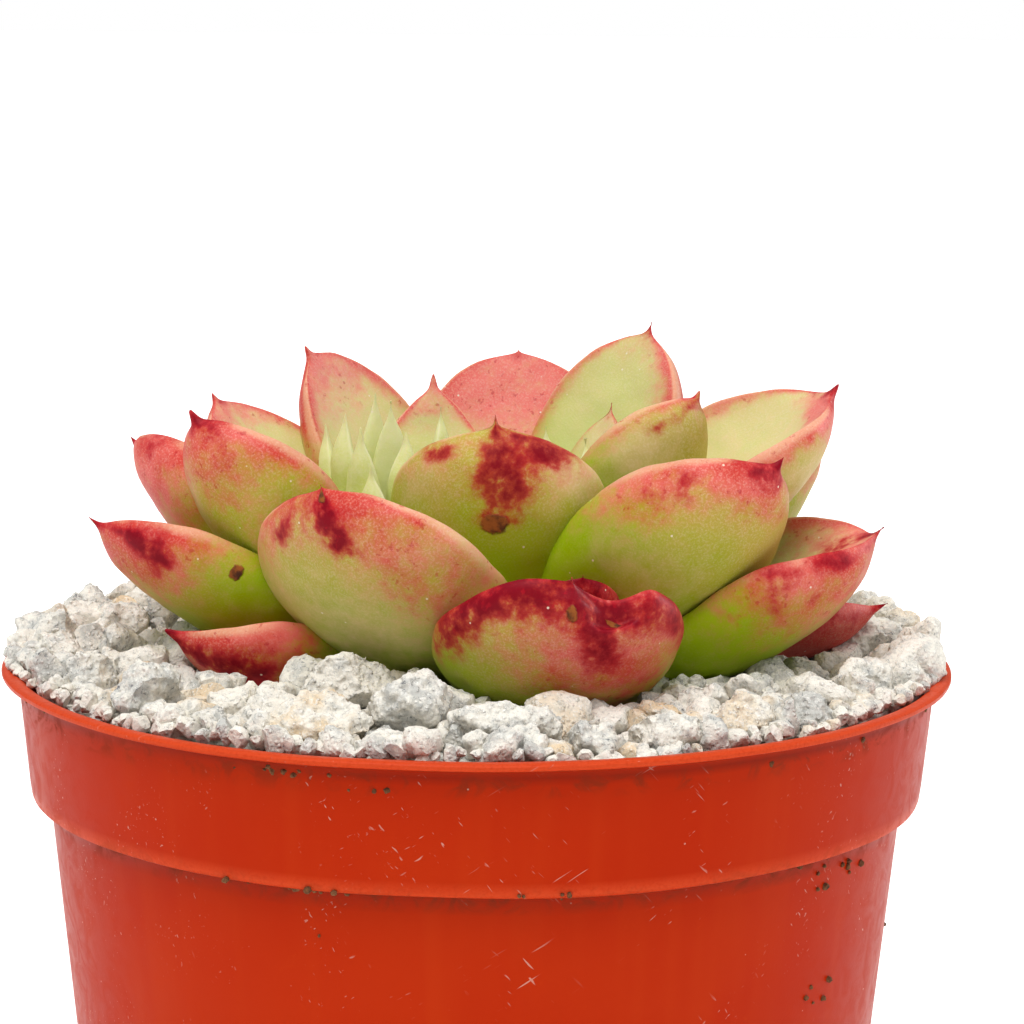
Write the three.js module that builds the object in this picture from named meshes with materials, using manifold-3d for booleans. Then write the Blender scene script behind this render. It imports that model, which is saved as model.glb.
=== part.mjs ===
// A two-headed succulent rosette growing in a thin plastic nursery pot.
//
// Millimetres, +Z up, the pot's axis on Z and its foot on z = 0. The pot is filled with
// substrate, a bed of pumice lies on that, and loose pumice stones lie on the bed. The plant
// is a forked stem with its roots in the substrate, carrying fleshy leaves round two growing
// points. Every leaf, every large stone and every holder piece is a closed solid of its own,
// with a small gap to its neighbours.
import * as THREE from "three";
import { mergeVertices } from "three/addons/utils/BufferGeometryUtils.js";
import Module from "manifold-3d";

const wasm = await Module();
wasm.setup();

// Driving dimensions.
const RIM_HEIGHT = 75;
const LIP_RADIUS = 42.5;
const LIP_WIDTH = 1.2;
const LIP_THICKNESS = 0.6;
const WALL = 0.9;
const COLLAR_HEIGHT = 11.4;
const COLLAR_TOP_RADIUS = 40.9;
const COLLAR_FOOT_RADIUS = 40.0;
const BODY_TOP_RADIUS = 38.4;
const FOOT_RADIUS = 32.0;
const FOOT_RING_WIDTH = 2.4;
const FOOT_RECESS = 2.0;
const FLOOR_THICKNESS = 1.3;
const DRAIN_RADIUS = 3.2;
const DRAIN_CIRCLE = 20;
const DRAIN_COUNT = 6;
const POT_SIDES = 48;
const FILL_SIDES = 36;
const GAP = 0.3; // clearance between touching pieces
const SOIL_DEPTH_BELOW_RIM = 9;
const BED_EDGE_BELOW_RIM = 1.8;
const BED_RISE = 1.6; // how far the bed's middle stands above its edge

const rad = THREE.MathUtils.degToRad;
const UP = new THREE.Vector3(0, 0, 1);
const CYLINDER_AXIS = new THREE.Vector3(0, 1, 0); // a new cylinder stands along Y
const aboveRim = (z) => RIM_HEIGHT + z;
const fromRim = ([x, y, z]) => new THREE.Vector3(x, y, aboveRim(z));

// Materials.
const matte = (color, roughness) => new THREE.MeshStandardMaterial({ color, roughness, metalness: 0 });
const POT_PLASTIC = matte(0xc33c1e, 0.38);
const SUBSTRATE = matte(0x3b2a20, 0.95);
const PUMICE = matte(0xd6d4ca, 0.95);
const STEM_BARK = matte(0x7d6a48, 0.85);
const LEAF_SKIN = matte(0xa8b061, 0.5);
const YOUNG_LEAF_SKIN = matte(0xbccb7c, 0.5);

// --- solids -----------------------------------------------------------------------------

// A closed geometry as a solid that can be joined and cut.
function solidOf(geometry) {
  const bare = geometry.clone();
  for (const name of ["normal", "uv"]) bare.deleteAttribute(name);
  const merged = mergeVertices(bare, 1e-4);
  return new wasm.Manifold(
    new wasm.Mesh({
      numProp: 3,
      vertProperties: merged.attributes.position.array,
      triVerts: new Uint32Array(merged.index.array),
    }),
  );
}

// A solid as a geometry again.
function geometryOf(solid) {
  const mesh = solid.getMesh();
  const stride = mesh.numProp;
  const positions = new Float32Array(mesh.numVert * 3);
  for (let i = 0; i < mesh.numVert; i++) {
    positions.set(mesh.vertProperties.subarray(i * stride, i * stride + 3), i * 3);
  }
  return new THREE.BufferGeometry()
    .setAttribute("position", new THREE.BufferAttribute(positions, 3))
    .setIndex(new THREE.BufferAttribute(new Uint32Array(mesh.triVerts), 1));
}

// The largest body of a solid, which drops slivers that a cut leaves behind.
function largestBody(solid) {
  const bodies = solid.decompose();
  return bodies.reduce((best, body) => (body.volume() > best.volume() ? body : best), bodies[0]);
}

// A profile of [radius, height] points turned about the Z axis.
function turned(profile, sides) {
  const points = profile.map(([r, z]) => new THREE.Vector2(r, z));
  return new THREE.LatheGeometry(points, sides).rotateX(Math.PI / 2);
}

// A tapered round rod from one point to another.
function rod(from, to, startRadius, endRadius, sides) {
  const along = new THREE.Vector3().subVectors(to, from);
  const turn = new THREE.Quaternion().setFromUnitVectors(CYLINDER_AXIS, along.clone().normalize());
  const middle = new THREE.Vector3().addVectors(from, to).multiplyScalar(0.5);
  return new THREE.CylinderGeometry(endRadius, startRadius, along.length(), sides)
    .applyQuaternion(turn)
    .translate(middle.x, middle.y, middle.z);
}

// --- pot, substrate and bed -------------------------------------------------------------

// Radius of the pot's inner face at a height, with the body's taper below the collar's step.
function innerRadius(z) {
  const step = RIM_HEIGHT - COLLAR_HEIGHT;
  if (z > step) {
    const share = (z - step) / COLLAR_HEIGHT;
    return THREE.MathUtils.lerp(COLLAR_FOOT_RADIUS, COLLAR_TOP_RADIUS, share) - WALL;
  }
  return THREE.MathUtils.lerp(FOOT_RADIUS, BODY_TOP_RADIUS, z / step) - WALL;
}

function potGeometry() {
  const step = RIM_HEIGHT - COLLAR_HEIGHT;
  const floor = FOOT_RECESS + FLOOR_THICKNESS;
  const profile = [
    [0, FOOT_RECESS],
    [FOOT_RADIUS - FOOT_RING_WIDTH - 0.4, FOOT_RECESS],
    [FOOT_RADIUS - FOOT_RING_WIDTH, 0],
    [FOOT_RADIUS, 0],
    [BODY_TOP_RADIUS, step],
    [COLLAR_FOOT_RADIUS - 0.35, step],
    [COLLAR_FOOT_RADIUS, step + 0.4],
    [COLLAR_TOP_RADIUS, RIM_HEIGHT - 2.4],
    [COLLAR_TOP_RADIUS + 0.5, RIM_HEIGHT - 1.2],
    [LIP_RADIUS - 0.25, RIM_HEIGHT - LIP_THICKNESS],
    [LIP_RADIUS, RIM_HEIGHT - LIP_THICKNESS / 2],
    [LIP_RADIUS - 0.2, RIM_HEIGHT],
    [LIP_RADIUS - LIP_WIDTH, RIM_HEIGHT],
    [COLLAR_TOP_RADIUS - WALL + 0.15, RIM_HEIGHT - 1.6],
    [innerRadius(step + WALL + 0.1), step + WALL + 0.1],
    [innerRadius(step), step - 0.4],
    [innerRadius(floor), floor],
    [0, floor],
  ];
  let pot = solidOf(turned(profile, POT_SIDES));
  for (let i = 0; i < DRAIN_COUNT; i++) {
    const angle = (i / DRAIN_COUNT) * 2 * Math.PI;
    const from = new THREE.Vector3(DRAIN_CIRCLE * Math.cos(angle), DRAIN_CIRCLE * Math.sin(angle), 0);
    const to = from.clone().setZ(floor + 1);
    pot = pot.subtract(solidOf(rod(from, to, DRAIN_RADIUS, DRAIN_RADIUS, 16)));
  }
  return geometryOf(pot);
}

function substrateGeometry() {
  const bottom = FOOT_RECESS + FLOOR_THICKNESS + GAP;
  const top = aboveRim(-SOIL_DEPTH_BELOW_RIM);
  const step = RIM_HEIGHT - COLLAR_HEIGHT;
  return turned(
    [
      [0, bottom],
      [innerRadius(bottom) - GAP, bottom],
      [innerRadius(step) - GAP, step - 0.5],
      [innerRadius(step) - GAP, top],
      [0, top],
    ],
    FILL_SIDES,
  );
}

// Height of the bed's top at a distance from the axis: a low mound.
function bedTop(radius) {
  const share = Math.min(1, radius / (COLLAR_TOP_RADIUS - WALL));
  return aboveRim(BED_RISE * (1 - share * share) - BED_EDGE_BELOW_RIM);
}

function bedGeometry() {
  const bottom = aboveRim(-SOIL_DEPTH_BELOW_RIM) + GAP;
  const edge = COLLAR_FOOT_RADIUS - WALL - 0.2;
  const profile = [
    [0, bottom],
    [edge - 0.4, bottom],
    [edge, bedTop(edge)],
  ];
  for (const share of [0.85, 0.68, 0.5, 0.3]) profile.push([edge * share, bedTop(edge * share)]);
  profile.push([0, bedTop(0)]);
  return turned(profile, FILL_SIDES);
}

// The larger loose stones: [x, y, height of its middle over the rim] and its three widths.
const stone = (name, middle, size, turn) => ({ name: "stone_" + name, middle, size, turn });
const STONES = [
  stone("front_a", [-11, -21, 1.5], [8.5, 6.5, 5.5], 20),
  stone("front_b", [-12.5, -33, 1], [8.5, 6, 5], -12),
  stone("front_c", [-5, -30.5, 2], [6.5, 6.5, 6], 40),
  stone("front_d", [2.5, -33, 1.5], [9, 6, 5.5], 10),
  stone("front_e", [9.5, -34.5, 0], [4.5, 4.5, 4], 65),
  stone("front_f", [16, -31.5, 0.5], [7, 5, 4.5], -20),
  stone("front_g", [21.5, -28.5, 0.5], [5.5, 5.5, 4.5], 80),
  stone("front_h", [19, -22.5, 0.5], [4, 4, 4], 15),
  stone("right_a", [27.5, -24.5, 0], [5, 5, 4], 120),
  stone("right_b", [33, -13, 0.5], [7, 5.5, 4.5], 60),
  stone("right_c", [35, 5.5, 0.5], [5.5, 5.5, 5], 35),
  stone("right_d", [37, -4.5, 0], [4.5, 5, 4.5], 150),
  stone("left_a", [-27, -23.5, 1.5], [6.5, 5.5, 5.5], 75),
  stone("left_b", [-33, -14.5, 0.5], [5.5, 5, 4.5], 5),
  stone("left_c", [-37, -5.5, 1], [5, 5, 5], 100),
  stone("left_d", [-33, 6.5, 1], [8, 6, 5], 140),
  stone("rear_a", [13, 35, 0.5], [7, 5.5, 5], 30),
  stone("rear_b", [-17, 33, 0], [6, 5.5, 4.5], 110),
];

// A broken lump: a rounded icosahedron with uneven facets, rippled differently for each turn.
function stoneGeometry({ middle, size, turn }, grow = 0) {
  const geometry = new THREE.IcosahedronGeometry(1, 1);
  const position = geometry.attributes.position;
  const p = new THREE.Vector3();
  for (let i = 0; i < position.count; i++) {
    p.fromBufferAttribute(position, i);
    const ripple = Math.sin(2.9 * p.x + turn) + Math.sin(3.7 * p.y + 2 * turn) + Math.sin(3.3 * p.z - turn);
    p.multiplyScalar(0.92 + 0.06 * ripple);
    p.set(p.x * (size[0] / 2 + grow), p.y * (size[1] / 2 + grow), p.z * (size[2] / 2 + grow));
    position.setXYZ(i, p.x, p.y, p.z);
  }
  const at = fromRim(middle);
  return geometry.rotateZ(rad(turn)).translate(at.x, at.y, at.z);
}

// --- plant ------------------------------------------------------------------------------

// The stem forks just under the rim into two short shoots, one under each growing point.
const FORK = new THREE.Vector3(1, 1, aboveRim(-7));
const SHOOT_TOPS = [
  new THREE.Vector3(-7, 1, aboveRim(10)),
  new THREE.Vector3(8, 2, aboveRim(10)),
];
const SHOOT_RADIUS = 4.6;
const ROOT_DEPTH = 38;
const ROOT_SPREAD = 17;
const ROOT_COUNT = 5;

// Each root as a tapered rod: start, end and the radius at each.
function rootRods() {
  const tapEnd = FORK.clone().setZ(FORK.z - ROOT_DEPTH);
  const rods = [[FORK, tapEnd, 4.2, 0.8]];
  for (let i = 0; i < ROOT_COUNT; i++) {
    const angle = (i / ROOT_COUNT) * 2 * Math.PI + 0.4;
    const end = new THREE.Vector3(Math.cos(angle), Math.sin(angle), 0).multiplyScalar(ROOT_SPREAD);
    end.add(FORK).setZ(FORK.z - ROOT_DEPTH * (0.55 + 0.08 * (i % 3)));
    rods.push([FORK.clone().setZ(FORK.z - 4), end, 2.2, 0.6]);
  }
  return rods;
}

// The stem with its roots, grown as one piece.
function stemSolid() {
  const rods = rootRods();
  for (const top of SHOOT_TOPS) {
    const foot = top.clone().setZ(aboveRim(-1.5));
    rods.push([FORK, foot, 3.8, SHOOT_RADIUS], [foot, top, SHOOT_RADIUS, 1]);
  }
  return rods.map((each) => solidOf(rod(...each, 8))).reduce((whole, each) => whole.add(each));
}

// The room the stem takes in the bed: a plain cone round the fork, open at the top.
function stemHollow() {
  return rod(FORK.clone().setZ(FORK.z - 4), FORK.clone().setZ(aboveRim(BED_RISE + 1)), 7, 17, 24);
}

// The room the roots take in the substrate: each rod of the root system a little thicker.
function rootRoom() {
  let room = solidOf(rod(FORK.clone().setZ(aboveRim(-5)), FORK.clone().setZ(FORK.z - 8), 9, 5, 16));
  for (const [from, to, startRadius, endRadius] of rootRods()) {
    room = room.add(solidOf(rod(from, to, startRadius + GAP, endRadius + GAP, 8)));
  }
  return room;
}

// Leaf forms. peak is where the blade is widest, taper draws its far end to a point, spine is
// the length of the pointed end and spineRadius its thickness, flat is how much of the
// thickness stands above the blade's middle on the upper face.
const BROAD = { peak: 0.58, taper: 0.62, spine: 1.2, spineRadius: 1, flat: 0.3 };
const SPEAR = { peak: 0.48, taper: 0.85, spine: 1.6, spineRadius: 0.9, flat: 0.3 };
const BLUNT = { peak: 0.6, taper: 0.5, spine: 0.6, spineRadius: 0.6, flat: 0.3 };
const OBOVATE = { peak: 0.64, taper: 0.55, spine: 1.4, spineRadius: 1.1, flat: 0.3 };
const BUD = { peak: 0.45, taper: 0.9, spine: 1.2, spineRadius: 0.45, flat: 0.5 };

// The one leaf whose tip was lost: it curls up steeply and its far edge has a notch.
const NOTCHED = { curl: 75, form: BLUNT, notch: { at: -1.5, width: 3.2, depth: 3.2 } };

// Half width and half thickness of a leaf at a share t of its length.
function leafSection(leaf, length, t) {
  const { peak, taper, spine, spineRadius } = leaf.form;
  const bladeEnd = 1 - spine / length;
  const share = Math.min(t / bladeEnd, 1);
  const fromPeak = share < peak ? (peak - share) / peak : (share - peak) / (1 - peak);
  const blade = Math.pow(1 - fromPeak * fromPeak, share < peak ? 0.5 : taper);
  const body = Math.pow(Math.sin(Math.PI * Math.pow(share, 0.85)), 0.6);
  const spineStart = bladeEnd - 0.1;
  const past = Math.max(0, (t - spineStart) / (1 - spineStart));
  const point = spineRadius * Math.pow(1 - past, 0.9) * THREE.MathUtils.smoothstep(t, 0.3, 0.7);
  const blend = (a) => Math.pow(Math.pow(a, 2.5) + Math.pow(point, 2.5), 0.4);
  return { halfWidth: blend((leaf.width / 2) * blade), halfThickness: blend((leaf.thick / 2) * body) };
}

// A fleshy leaf as a sphere drawn out between its seat and its tip. Its upper face is nearly
// flat and its lower face is full. cup bends it across and curl along, in degrees; roll turns
// it about its own length; bow moves its middle sideways; a notch cuts back the far edge.
function leafGeometry(leaf, grow = 0) {
  const seat = fromRim(leaf.seat);
  const tip = fromRim(leaf.tip);
  const chord = new THREE.Vector3().subVectors(tip, seat);
  const curl = rad(leaf.curl);
  const length = (chord.length() * (curl / 2)) / Math.sin(curl / 2);
  const cup = rad(leaf.cup);
  const [sides, rings] = leaf.form === BUD ? [6, 6] : [10, 9];
  const geometry = new THREE.SphereGeometry(1, sides, rings);
  const position = geometry.attributes.position;
  const p = new THREE.Vector3();
  for (let i = 0; i < position.count; i++) {
    p.fromBufferAttribute(position, i);
    const t = (1 + p.y) / 2;
    const around = Math.hypot(p.x, p.z) || 1;
    const section = leafSection(leaf, length, t);
    const ends = around < 1e-6 || t <= 0 || t >= 1 ? 0 : 1;
    let x = ends * (section.halfWidth + grow) * (p.x / around);
    const face = p.z > 0 ? leaf.form.flat : 2 - leaf.form.flat;
    let z = ends * (face * section.halfThickness + grow) * (p.z / around);
    let y = length * t + grow * (t < 0.5 ? -1 : 1) * (ends ? 0 : 1);
    if (leaf.notch) {
      const near = Math.exp(-Math.pow((x - leaf.notch.at) / leaf.notch.width, 2));
      y -= leaf.notch.depth * near * Math.pow(t, 5);
    }
    x -= leaf.bow * length * 4 * t * (1 - t);
    const across = leaf.width / Math.max(cup, 1e-3);
    [x, z] = [(across - z) * Math.sin(x / across), across - (across - z) * Math.cos(x / across)];
    const arc = length / curl;
    const angle = y / arc;
    [y, z] = [(arc - z) * Math.sin(angle), arc - (arc - z) * Math.cos(angle)];
    position.setXYZ(i, x, y, z);
  }
  const along = chord.clone().normalize();
  const upper = UP.clone().addScaledVector(along, -UP.dot(along)).normalize();
  upper.applyAxisAngle(along, rad(leaf.roll));
  const side = new THREE.Vector3().crossVectors(along, upper);
  const frame = new THREE.Matrix4().makeBasis(side, along, upper).setPosition(seat);
  return geometry.rotateX(-curl / 2).applyMatrix4(frame);
}

// Every leaf: its seat on the stem and its tip, as [x, y, height over the rim], then width and
// thickness, and its bends. Outer leaves come first and the youngest last.
const USUAL_BENDS = { cup: 50, curl: 30, roll: 0, bow: 0, form: BROAD };
const leaf = (name, seat, tip, [width, thick], bends) => ({
  ...USUAL_BENDS,
  ...bends,
  name: "leaf_" + name,
  seat,
  tip,
  width,
  thick,
});
const BUD_BENDS = { curl: 10, cup: 20, form: BUD };
const bud = (name, seat, tip) => leaf("bud_" + name, seat, tip, [3.6, 2.6], BUD_BENDS);
const LEAVES = [
  leaf("front_left", [-3, -3, 1], [-13, -20, 18.5], [24, 6], { curl: 45, cup: 40, bow: 0.05, form: BLUNT }),
  leaf("front_centre", [2.5, -2, 3], [1.5, -12, 23.5], [19.5, 5.5], { cup: 45, form: OBOVATE }),
  leaf("front_right", [7.5, -3, 2.5], [26, -15, 20.5], [20, 6], { cup: 100, roll: -25, bow: -0.03 }),
  leaf("front_notched", [5.5, -7, 1.5], [8, -28, 12.5], [21.5, 5.5], NOTCHED),
  leaf("front_small", [7, -6, 3], [9, -20, 11], [8, 4], { curl: 40, cup: 30, form: BLUNT }),
  leaf("right_low", [12, -5, 0], [35.5, -8, 13.5], [20, 5.5], { curl: 16, cup: 115, roll: 5 }),
  leaf("right_bottom", [15, 3, 2], [37.5, 4, 4.5], [13, 5], { curl: 12, cup: 60, roll: -20, form: SPEAR }),
  leaf("right_high", [10, -1, 5], [32, 0, 25], [21, 5], { cup: 120, curl: 15, roll: 12 }),
  leaf("right_rear", [13, 4, 3], [32, 9, 22], [17, 5], { curl: 25, cup: 70, roll: -20, form: SPEAR }),
  leaf("right_inner", [6.5, 0, 8], [19.5, -2, 24.5], [13, 4.5], { curl: 25, roll: -40 }),
  leaf("middle_inner", [8.5, 3, 11], [12, 6, 22.5], [7, 3], { curl: 15, form: SPEAR }),
  leaf("back_right_tall", [7.5, 6, 5], [16, 16, 29], [16.5, 5], { curl: 25, bow: 0.05 }),
  leaf("back_centre", [1.5, 6, 3], [3.5, 25, 25.5], [19.5, 5], { curl: 40, form: BLUNT }),
  leaf("middle_back", [-4, 5, 7], [-4.5, 14, 24], [11, 4], { curl: 25, cup: 60, form: SPEAR }),
  leaf("back_left_tall", [-6, 6, 5], [-16.5, 14, 26.5], [16, 4.5], { curl: 25, bow: -0.13 }),
  leaf("left_upper", [-9, 2, 6], [-24.5, 6, 23], [16, 4.5], { curl: 20, roll: -12 }),
  leaf("left_middle", [-9, -1, 3], [-25, -8, 23], [14.5, 5.5], { curl: 10, roll: 30 }),
  leaf("left_rear", [-11, 1, 2.5], [-32, 6, 19], [15.5, 5], { cup: 80, curl: 12, roll: 28, bow: 0.1 }),
  leaf("left_low", [-10, -2, 1], [-34.5, -4, 13], [16, 5], { curl: 8, roll: 25 }),
  leaf("left_bottom", [-9, -5, 0.5], [-27, -10, 4], [14.5, 5], { curl: 16, roll: 20, form: SPEAR }),
  leaf("middle_left", [-2, 1, 6], [-1.5, 1, 18], [7, 3], { curl: 15, form: SPEAR }),
  leaf("middle_right", [3.5, 3, 6], [4, 5, 19], [7, 3], { curl: 15, form: SPEAR }),
  leaf("back_left_mid", [-8, 6, 3], [-22, 19, 17], [16, 5]),
  leaf("back_right_mid", [10, 6, 3], [24, 17, 18], [16, 5]),
  leaf("back_left_low", [-8, 8, 0.5], [-24, 25, 9], [16, 5], { curl: 35 }),
  leaf("back_low", [0, 9, 0.5], [-2, 33, 9], [18, 5.5], { curl: 35 }),
  leaf("back_right_low", [9, 8, 0.5], [23, 27, 9], [16, 5], { curl: 35 }),
  bud("left_1", [-10.5, 1, 10], [-12, 0.5, 22]),
  bud("left_2", [-9.5, -1, 9.5], [-10.5, -2.5, 21]),
  bud("left_3", [-9, 3, 10], [-9.5, 4, 23.5]),
  bud("left_4", [-8, 1.5, 10], [-8, 2, 23]),
  bud("left_5", [-11, 3.5, 9], [-14, 4, 20.5]),
  bud("left_6", [-7, -0.5, 9.5], [-6.5, -1.5, 20.5]),
  bud("left_7", [-8.5, -3, 8], [-9.5, -4.5, 18]),
  bud("left_8", [-5.5, 2, 10], [-3.5, 2, 22.5]),
  bud("right_1", [7, 3, 10], [6, 4.5, 20.5]),
  bud("right_2", [8.5, 1, 9.5], [9.5, 0.5, 20]),
  bud("right_3", [10, 4.5, 9.5], [12.5, 5, 19.5]),
];

// --- assembly ---------------------------------------------------------------------------

const part = new THREE.Group();

function addMesh(name, geometry, material) {
  const mesh = new THREE.Mesh(geometry, material);
  mesh.name = name;
  part.add(mesh);
}

// What is left of a solid clear of others that are already placed.
const clearOf = (solid, grown) => largestBody(grown.reduce((rest, each) => rest.subtract(each), solid));

// Leaves are trimmed, where they crowd together at their seats, by the ones placed before.
const grownLeaves = [];
for (const each of LEAVES) {
  const solid = clearOf(solidOf(leafGeometry(each)), grownLeaves);
  grownLeaves.push(solidOf(leafGeometry(each, GAP)));
  addMesh(each.name, geometryOf(solid), each.form === BUD ? YOUNG_LEAF_SKIN : LEAF_SKIN);
}

addMesh("stem_and_roots", geometryOf(clearOf(stemSolid(), grownLeaves)), STEM_BARK);

// The stones lie in the bed's hollows, clear of the leaves above them.
const grownStones = [];
for (const each of STONES) {
  const solid = clearOf(solidOf(stoneGeometry(each)), [...grownLeaves, ...grownStones]);
  grownStones.push(solidOf(stoneGeometry(each, GAP)));
  addMesh(each.name, geometryOf(solid), PUMICE);
}

const bed = solidOf(bedGeometry()).subtract(solidOf(stemHollow()));
addMesh("pumice_bed", geometryOf(clearOf(bed, [...grownLeaves, ...grownStones])), PUMICE);
addMesh("substrate", geometryOf(solidOf(substrateGeometry()).subtract(rootRoom())), SUBSTRATE);
addMesh("pot", potGeometry(), POT_PLASTIC);

export default part;
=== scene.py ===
"""A potted succulent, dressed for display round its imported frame.

The plant stands in a plastic nursery pot topped with pumice. Pot, leaves and stones are
modelled here in the frame's own place and scale: metres, +Z up, the pot's foot on z = 0.
"""

import logging
import math
import random
from dataclasses import dataclass, field
from enum import Enum
from typing import Callable, Iterable, Optional, Sequence

import bmesh
import bpy
import numpy as np
from mathutils import Matrix, Vector
from mathutils.bvhtree import BVHTree


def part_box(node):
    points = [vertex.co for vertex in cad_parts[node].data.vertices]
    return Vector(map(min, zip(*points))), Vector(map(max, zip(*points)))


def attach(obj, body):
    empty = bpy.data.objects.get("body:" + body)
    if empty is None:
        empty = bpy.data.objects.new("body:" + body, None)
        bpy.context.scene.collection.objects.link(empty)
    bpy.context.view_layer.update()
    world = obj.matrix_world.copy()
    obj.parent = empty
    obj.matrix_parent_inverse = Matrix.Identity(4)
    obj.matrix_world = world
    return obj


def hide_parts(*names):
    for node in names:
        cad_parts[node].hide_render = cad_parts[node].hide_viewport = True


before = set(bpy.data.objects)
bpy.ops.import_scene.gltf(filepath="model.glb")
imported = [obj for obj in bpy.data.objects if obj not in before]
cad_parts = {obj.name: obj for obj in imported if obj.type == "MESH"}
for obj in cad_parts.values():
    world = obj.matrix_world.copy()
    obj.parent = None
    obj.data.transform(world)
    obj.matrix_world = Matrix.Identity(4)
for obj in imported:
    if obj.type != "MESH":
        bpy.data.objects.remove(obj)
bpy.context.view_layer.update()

MM = 0.001
ROOT = "root"
LOG = logging.getLogger("potted_succulent")
Point = tuple[float, float, float]
Colour = tuple[float, float, float]
Spot = tuple[float, float, float, float, float]


def rgba(colour: Colour) -> tuple[float, float, float, float]:
    """Returns a linear colour with full alpha."""
    return (*colour, 1.0)


def between(value: float, low: float = 0.0, high: float = 1.0) -> float:
    """Keeps a value between two limits."""
    return min(max(value, low), high)


def rise_from(values: np.ndarray, start: float, span: float) -> np.ndarray:
    """Runs from 0 at the start to 1 a span later."""
    return np.clip((values - start) / span, 0, 1)


def hump(values: np.ndarray, middle: float, reach: float) -> np.ndarray:
    """Runs smoothly from 1 at the middle down to 0 well past its reach."""
    return np.exp(-((values - middle) / reach) ** 2)


# --- the workbench ----------------------------------------------------------------------


class Bench:
    """Plain modelling moves on one object at a time."""

    @staticmethod
    def clear() -> None:
        """Leaves edit mode and deselects everything."""
        if bpy.context.mode != "OBJECT":
            bpy.ops.object.mode_set(mode="OBJECT")
        bpy.ops.object.select_all(action="DESELECT")

    @staticmethod
    def take(piece: bpy.types.Object) -> None:
        """Selects one object alone and makes it active.

        Args:
            piece: The object to work on.
        """
        Bench.clear()
        piece.select_set(True)
        bpy.context.view_layer.objects.active = piece

    @staticmethod
    def made(name: str) -> bpy.types.Object:
        """Names the primitive that was just added.

        Args:
            name: The piece's name.

        Returns:
            The new object.
        """
        piece = bpy.context.active_object
        piece.name = name
        piece.data.name = name
        return piece

    @staticmethod
    def open(piece: bpy.types.Object) -> None:
        """Opens a piece's mesh with nothing selected, ready for vertex work.

        Args:
            piece: The object to open.
        """
        Bench.take(piece)
        bpy.ops.object.mode_set(mode="EDIT")
        bpy.ops.mesh.select_mode(type="VERT")
        bpy.ops.mesh.select_all(action="DESELECT")

    @staticmethod
    def pick(piece: bpy.types.Object, test: Callable[[Vector], bool]) -> None:
        """Selects the vertices whose place passes a test.

        Args:
            piece: The open object.
            test: Says whether a place is wanted.
        """
        sheet = bmesh.from_edit_mesh(piece.data)
        for vertex in sheet.verts:
            vertex.select = test(vertex.co)
        sheet.select_flush_mode()
        bmesh.update_edit_mesh(piece.data)

    @staticmethod
    def shut() -> None:
        """Goes back to object mode."""
        bpy.ops.object.mode_set(mode="OBJECT")

    @staticmethod
    def copy(piece: bpy.types.Object, name: str) -> bpy.types.Object:
        """Copies an object with a mesh of its own.

        Args:
            piece: The pattern.
            name: The copy's name.

        Returns:
            The copy, linked to the scene.
        """
        twin = piece.copy()
        twin.data = piece.data.copy()
        twin.name = name
        twin.data.name = name
        bpy.context.scene.collection.objects.link(twin)
        return twin

    @staticmethod
    def settle(piece: bpy.types.Object) -> None:
        """Puts an object's place, turn and size into its mesh."""
        Bench.take(piece)
        bpy.ops.object.transform_apply(location=True, rotation=True, scale=True)

    @staticmethod
    def apply(piece: bpy.types.Object, kind: str, **settings: object) -> None:
        """Adds a modifier and applies it at once.

        Args:
            piece: The object to change.
            kind: The modifier's type.
            **settings: Values for the modifier's own fields.
        """
        Bench.take(piece)
        modifier = piece.modifiers.new(kind.title(), kind)
        for key, value in settings.items():
            setattr(modifier, key, value)
        bpy.ops.object.modifier_apply(modifier=modifier.name)

    @staticmethod
    def join(pieces: Sequence[bpy.types.Object], name: str) -> bpy.types.Object:
        """Joins several objects into one, settled at the origin.

        Args:
            pieces: The objects to join.
            name: The name of the result.

        Returns:
            The joined object.
        """
        Bench.clear()
        for piece in pieces:
            piece.select_set(True)
        bpy.context.view_layer.objects.active = pieces[0]
        if len(pieces) > 1:
            bpy.ops.object.join()
        whole = Bench.made(name)
        Bench.settle(whole)
        return whole

    @staticmethod
    def smooth(piece: bpy.types.Object, degrees: float) -> None:
        """Shades a piece smooth, but for edges sharper than an angle."""
        Bench.take(piece)
        bpy.ops.object.shade_smooth_by_angle(angle=math.radians(degrees))

    @staticmethod
    def discard(pieces: Iterable[bpy.types.Object]) -> None:
        """Removes patterns that were only copied."""
        for piece in pieces:
            bpy.data.objects.remove(piece, do_unlink=True)

    @staticmethod
    def roughen(piece: bpy.types.Object, size: float, depth: float, middle: float = 0.5,
                **settings: object) -> None:
        """Displaces a piece's surface by soft noise.

        Args:
            piece: The object to change.
            size: The size of the noise's lumps, in the mesh's unit.
            depth: How far the noise reaches from its lowest to its highest, in the same unit.
            middle: The noise value that leaves the surface where it is.
            **settings: Other values for the modifier's own fields.
        """
        clouds = bpy.data.textures.new("clouds", "CLOUDS")
        clouds.noise_scale = size
        clouds.noise_depth = 2
        Bench.apply(piece, "DISPLACE", texture=clouds, strength=depth, mid_level=middle,
                    texture_coords="LOCAL", **settings)

    @staticmethod
    def paint(piece: bpy.types.Object, name: str, values: np.ndarray) -> None:
        """Stores one number for each vertex under a name.

        Args:
            piece: The object whose mesh takes the numbers.
            name: The attribute's name.
            values: One value for each vertex.
        """
        layer = piece.data.attributes.get(name)
        if layer is None:
            layer = piece.data.attributes.new(name, "FLOAT", "POINT")
        layer.data.foreach_set("value", np.asarray(values, np.float32))

    @staticmethod
    def read(piece: bpy.types.Object, name: str) -> np.ndarray:
        """Reads one stored number for each vertex.

        Args:
            piece: The object whose mesh holds the numbers.
            name: The attribute's name.

        Returns:
            The values.
        """
        values = np.zeros(len(piece.data.vertices), np.float32)
        piece.data.attributes[name].data.foreach_get("value", values)
        return values

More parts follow.
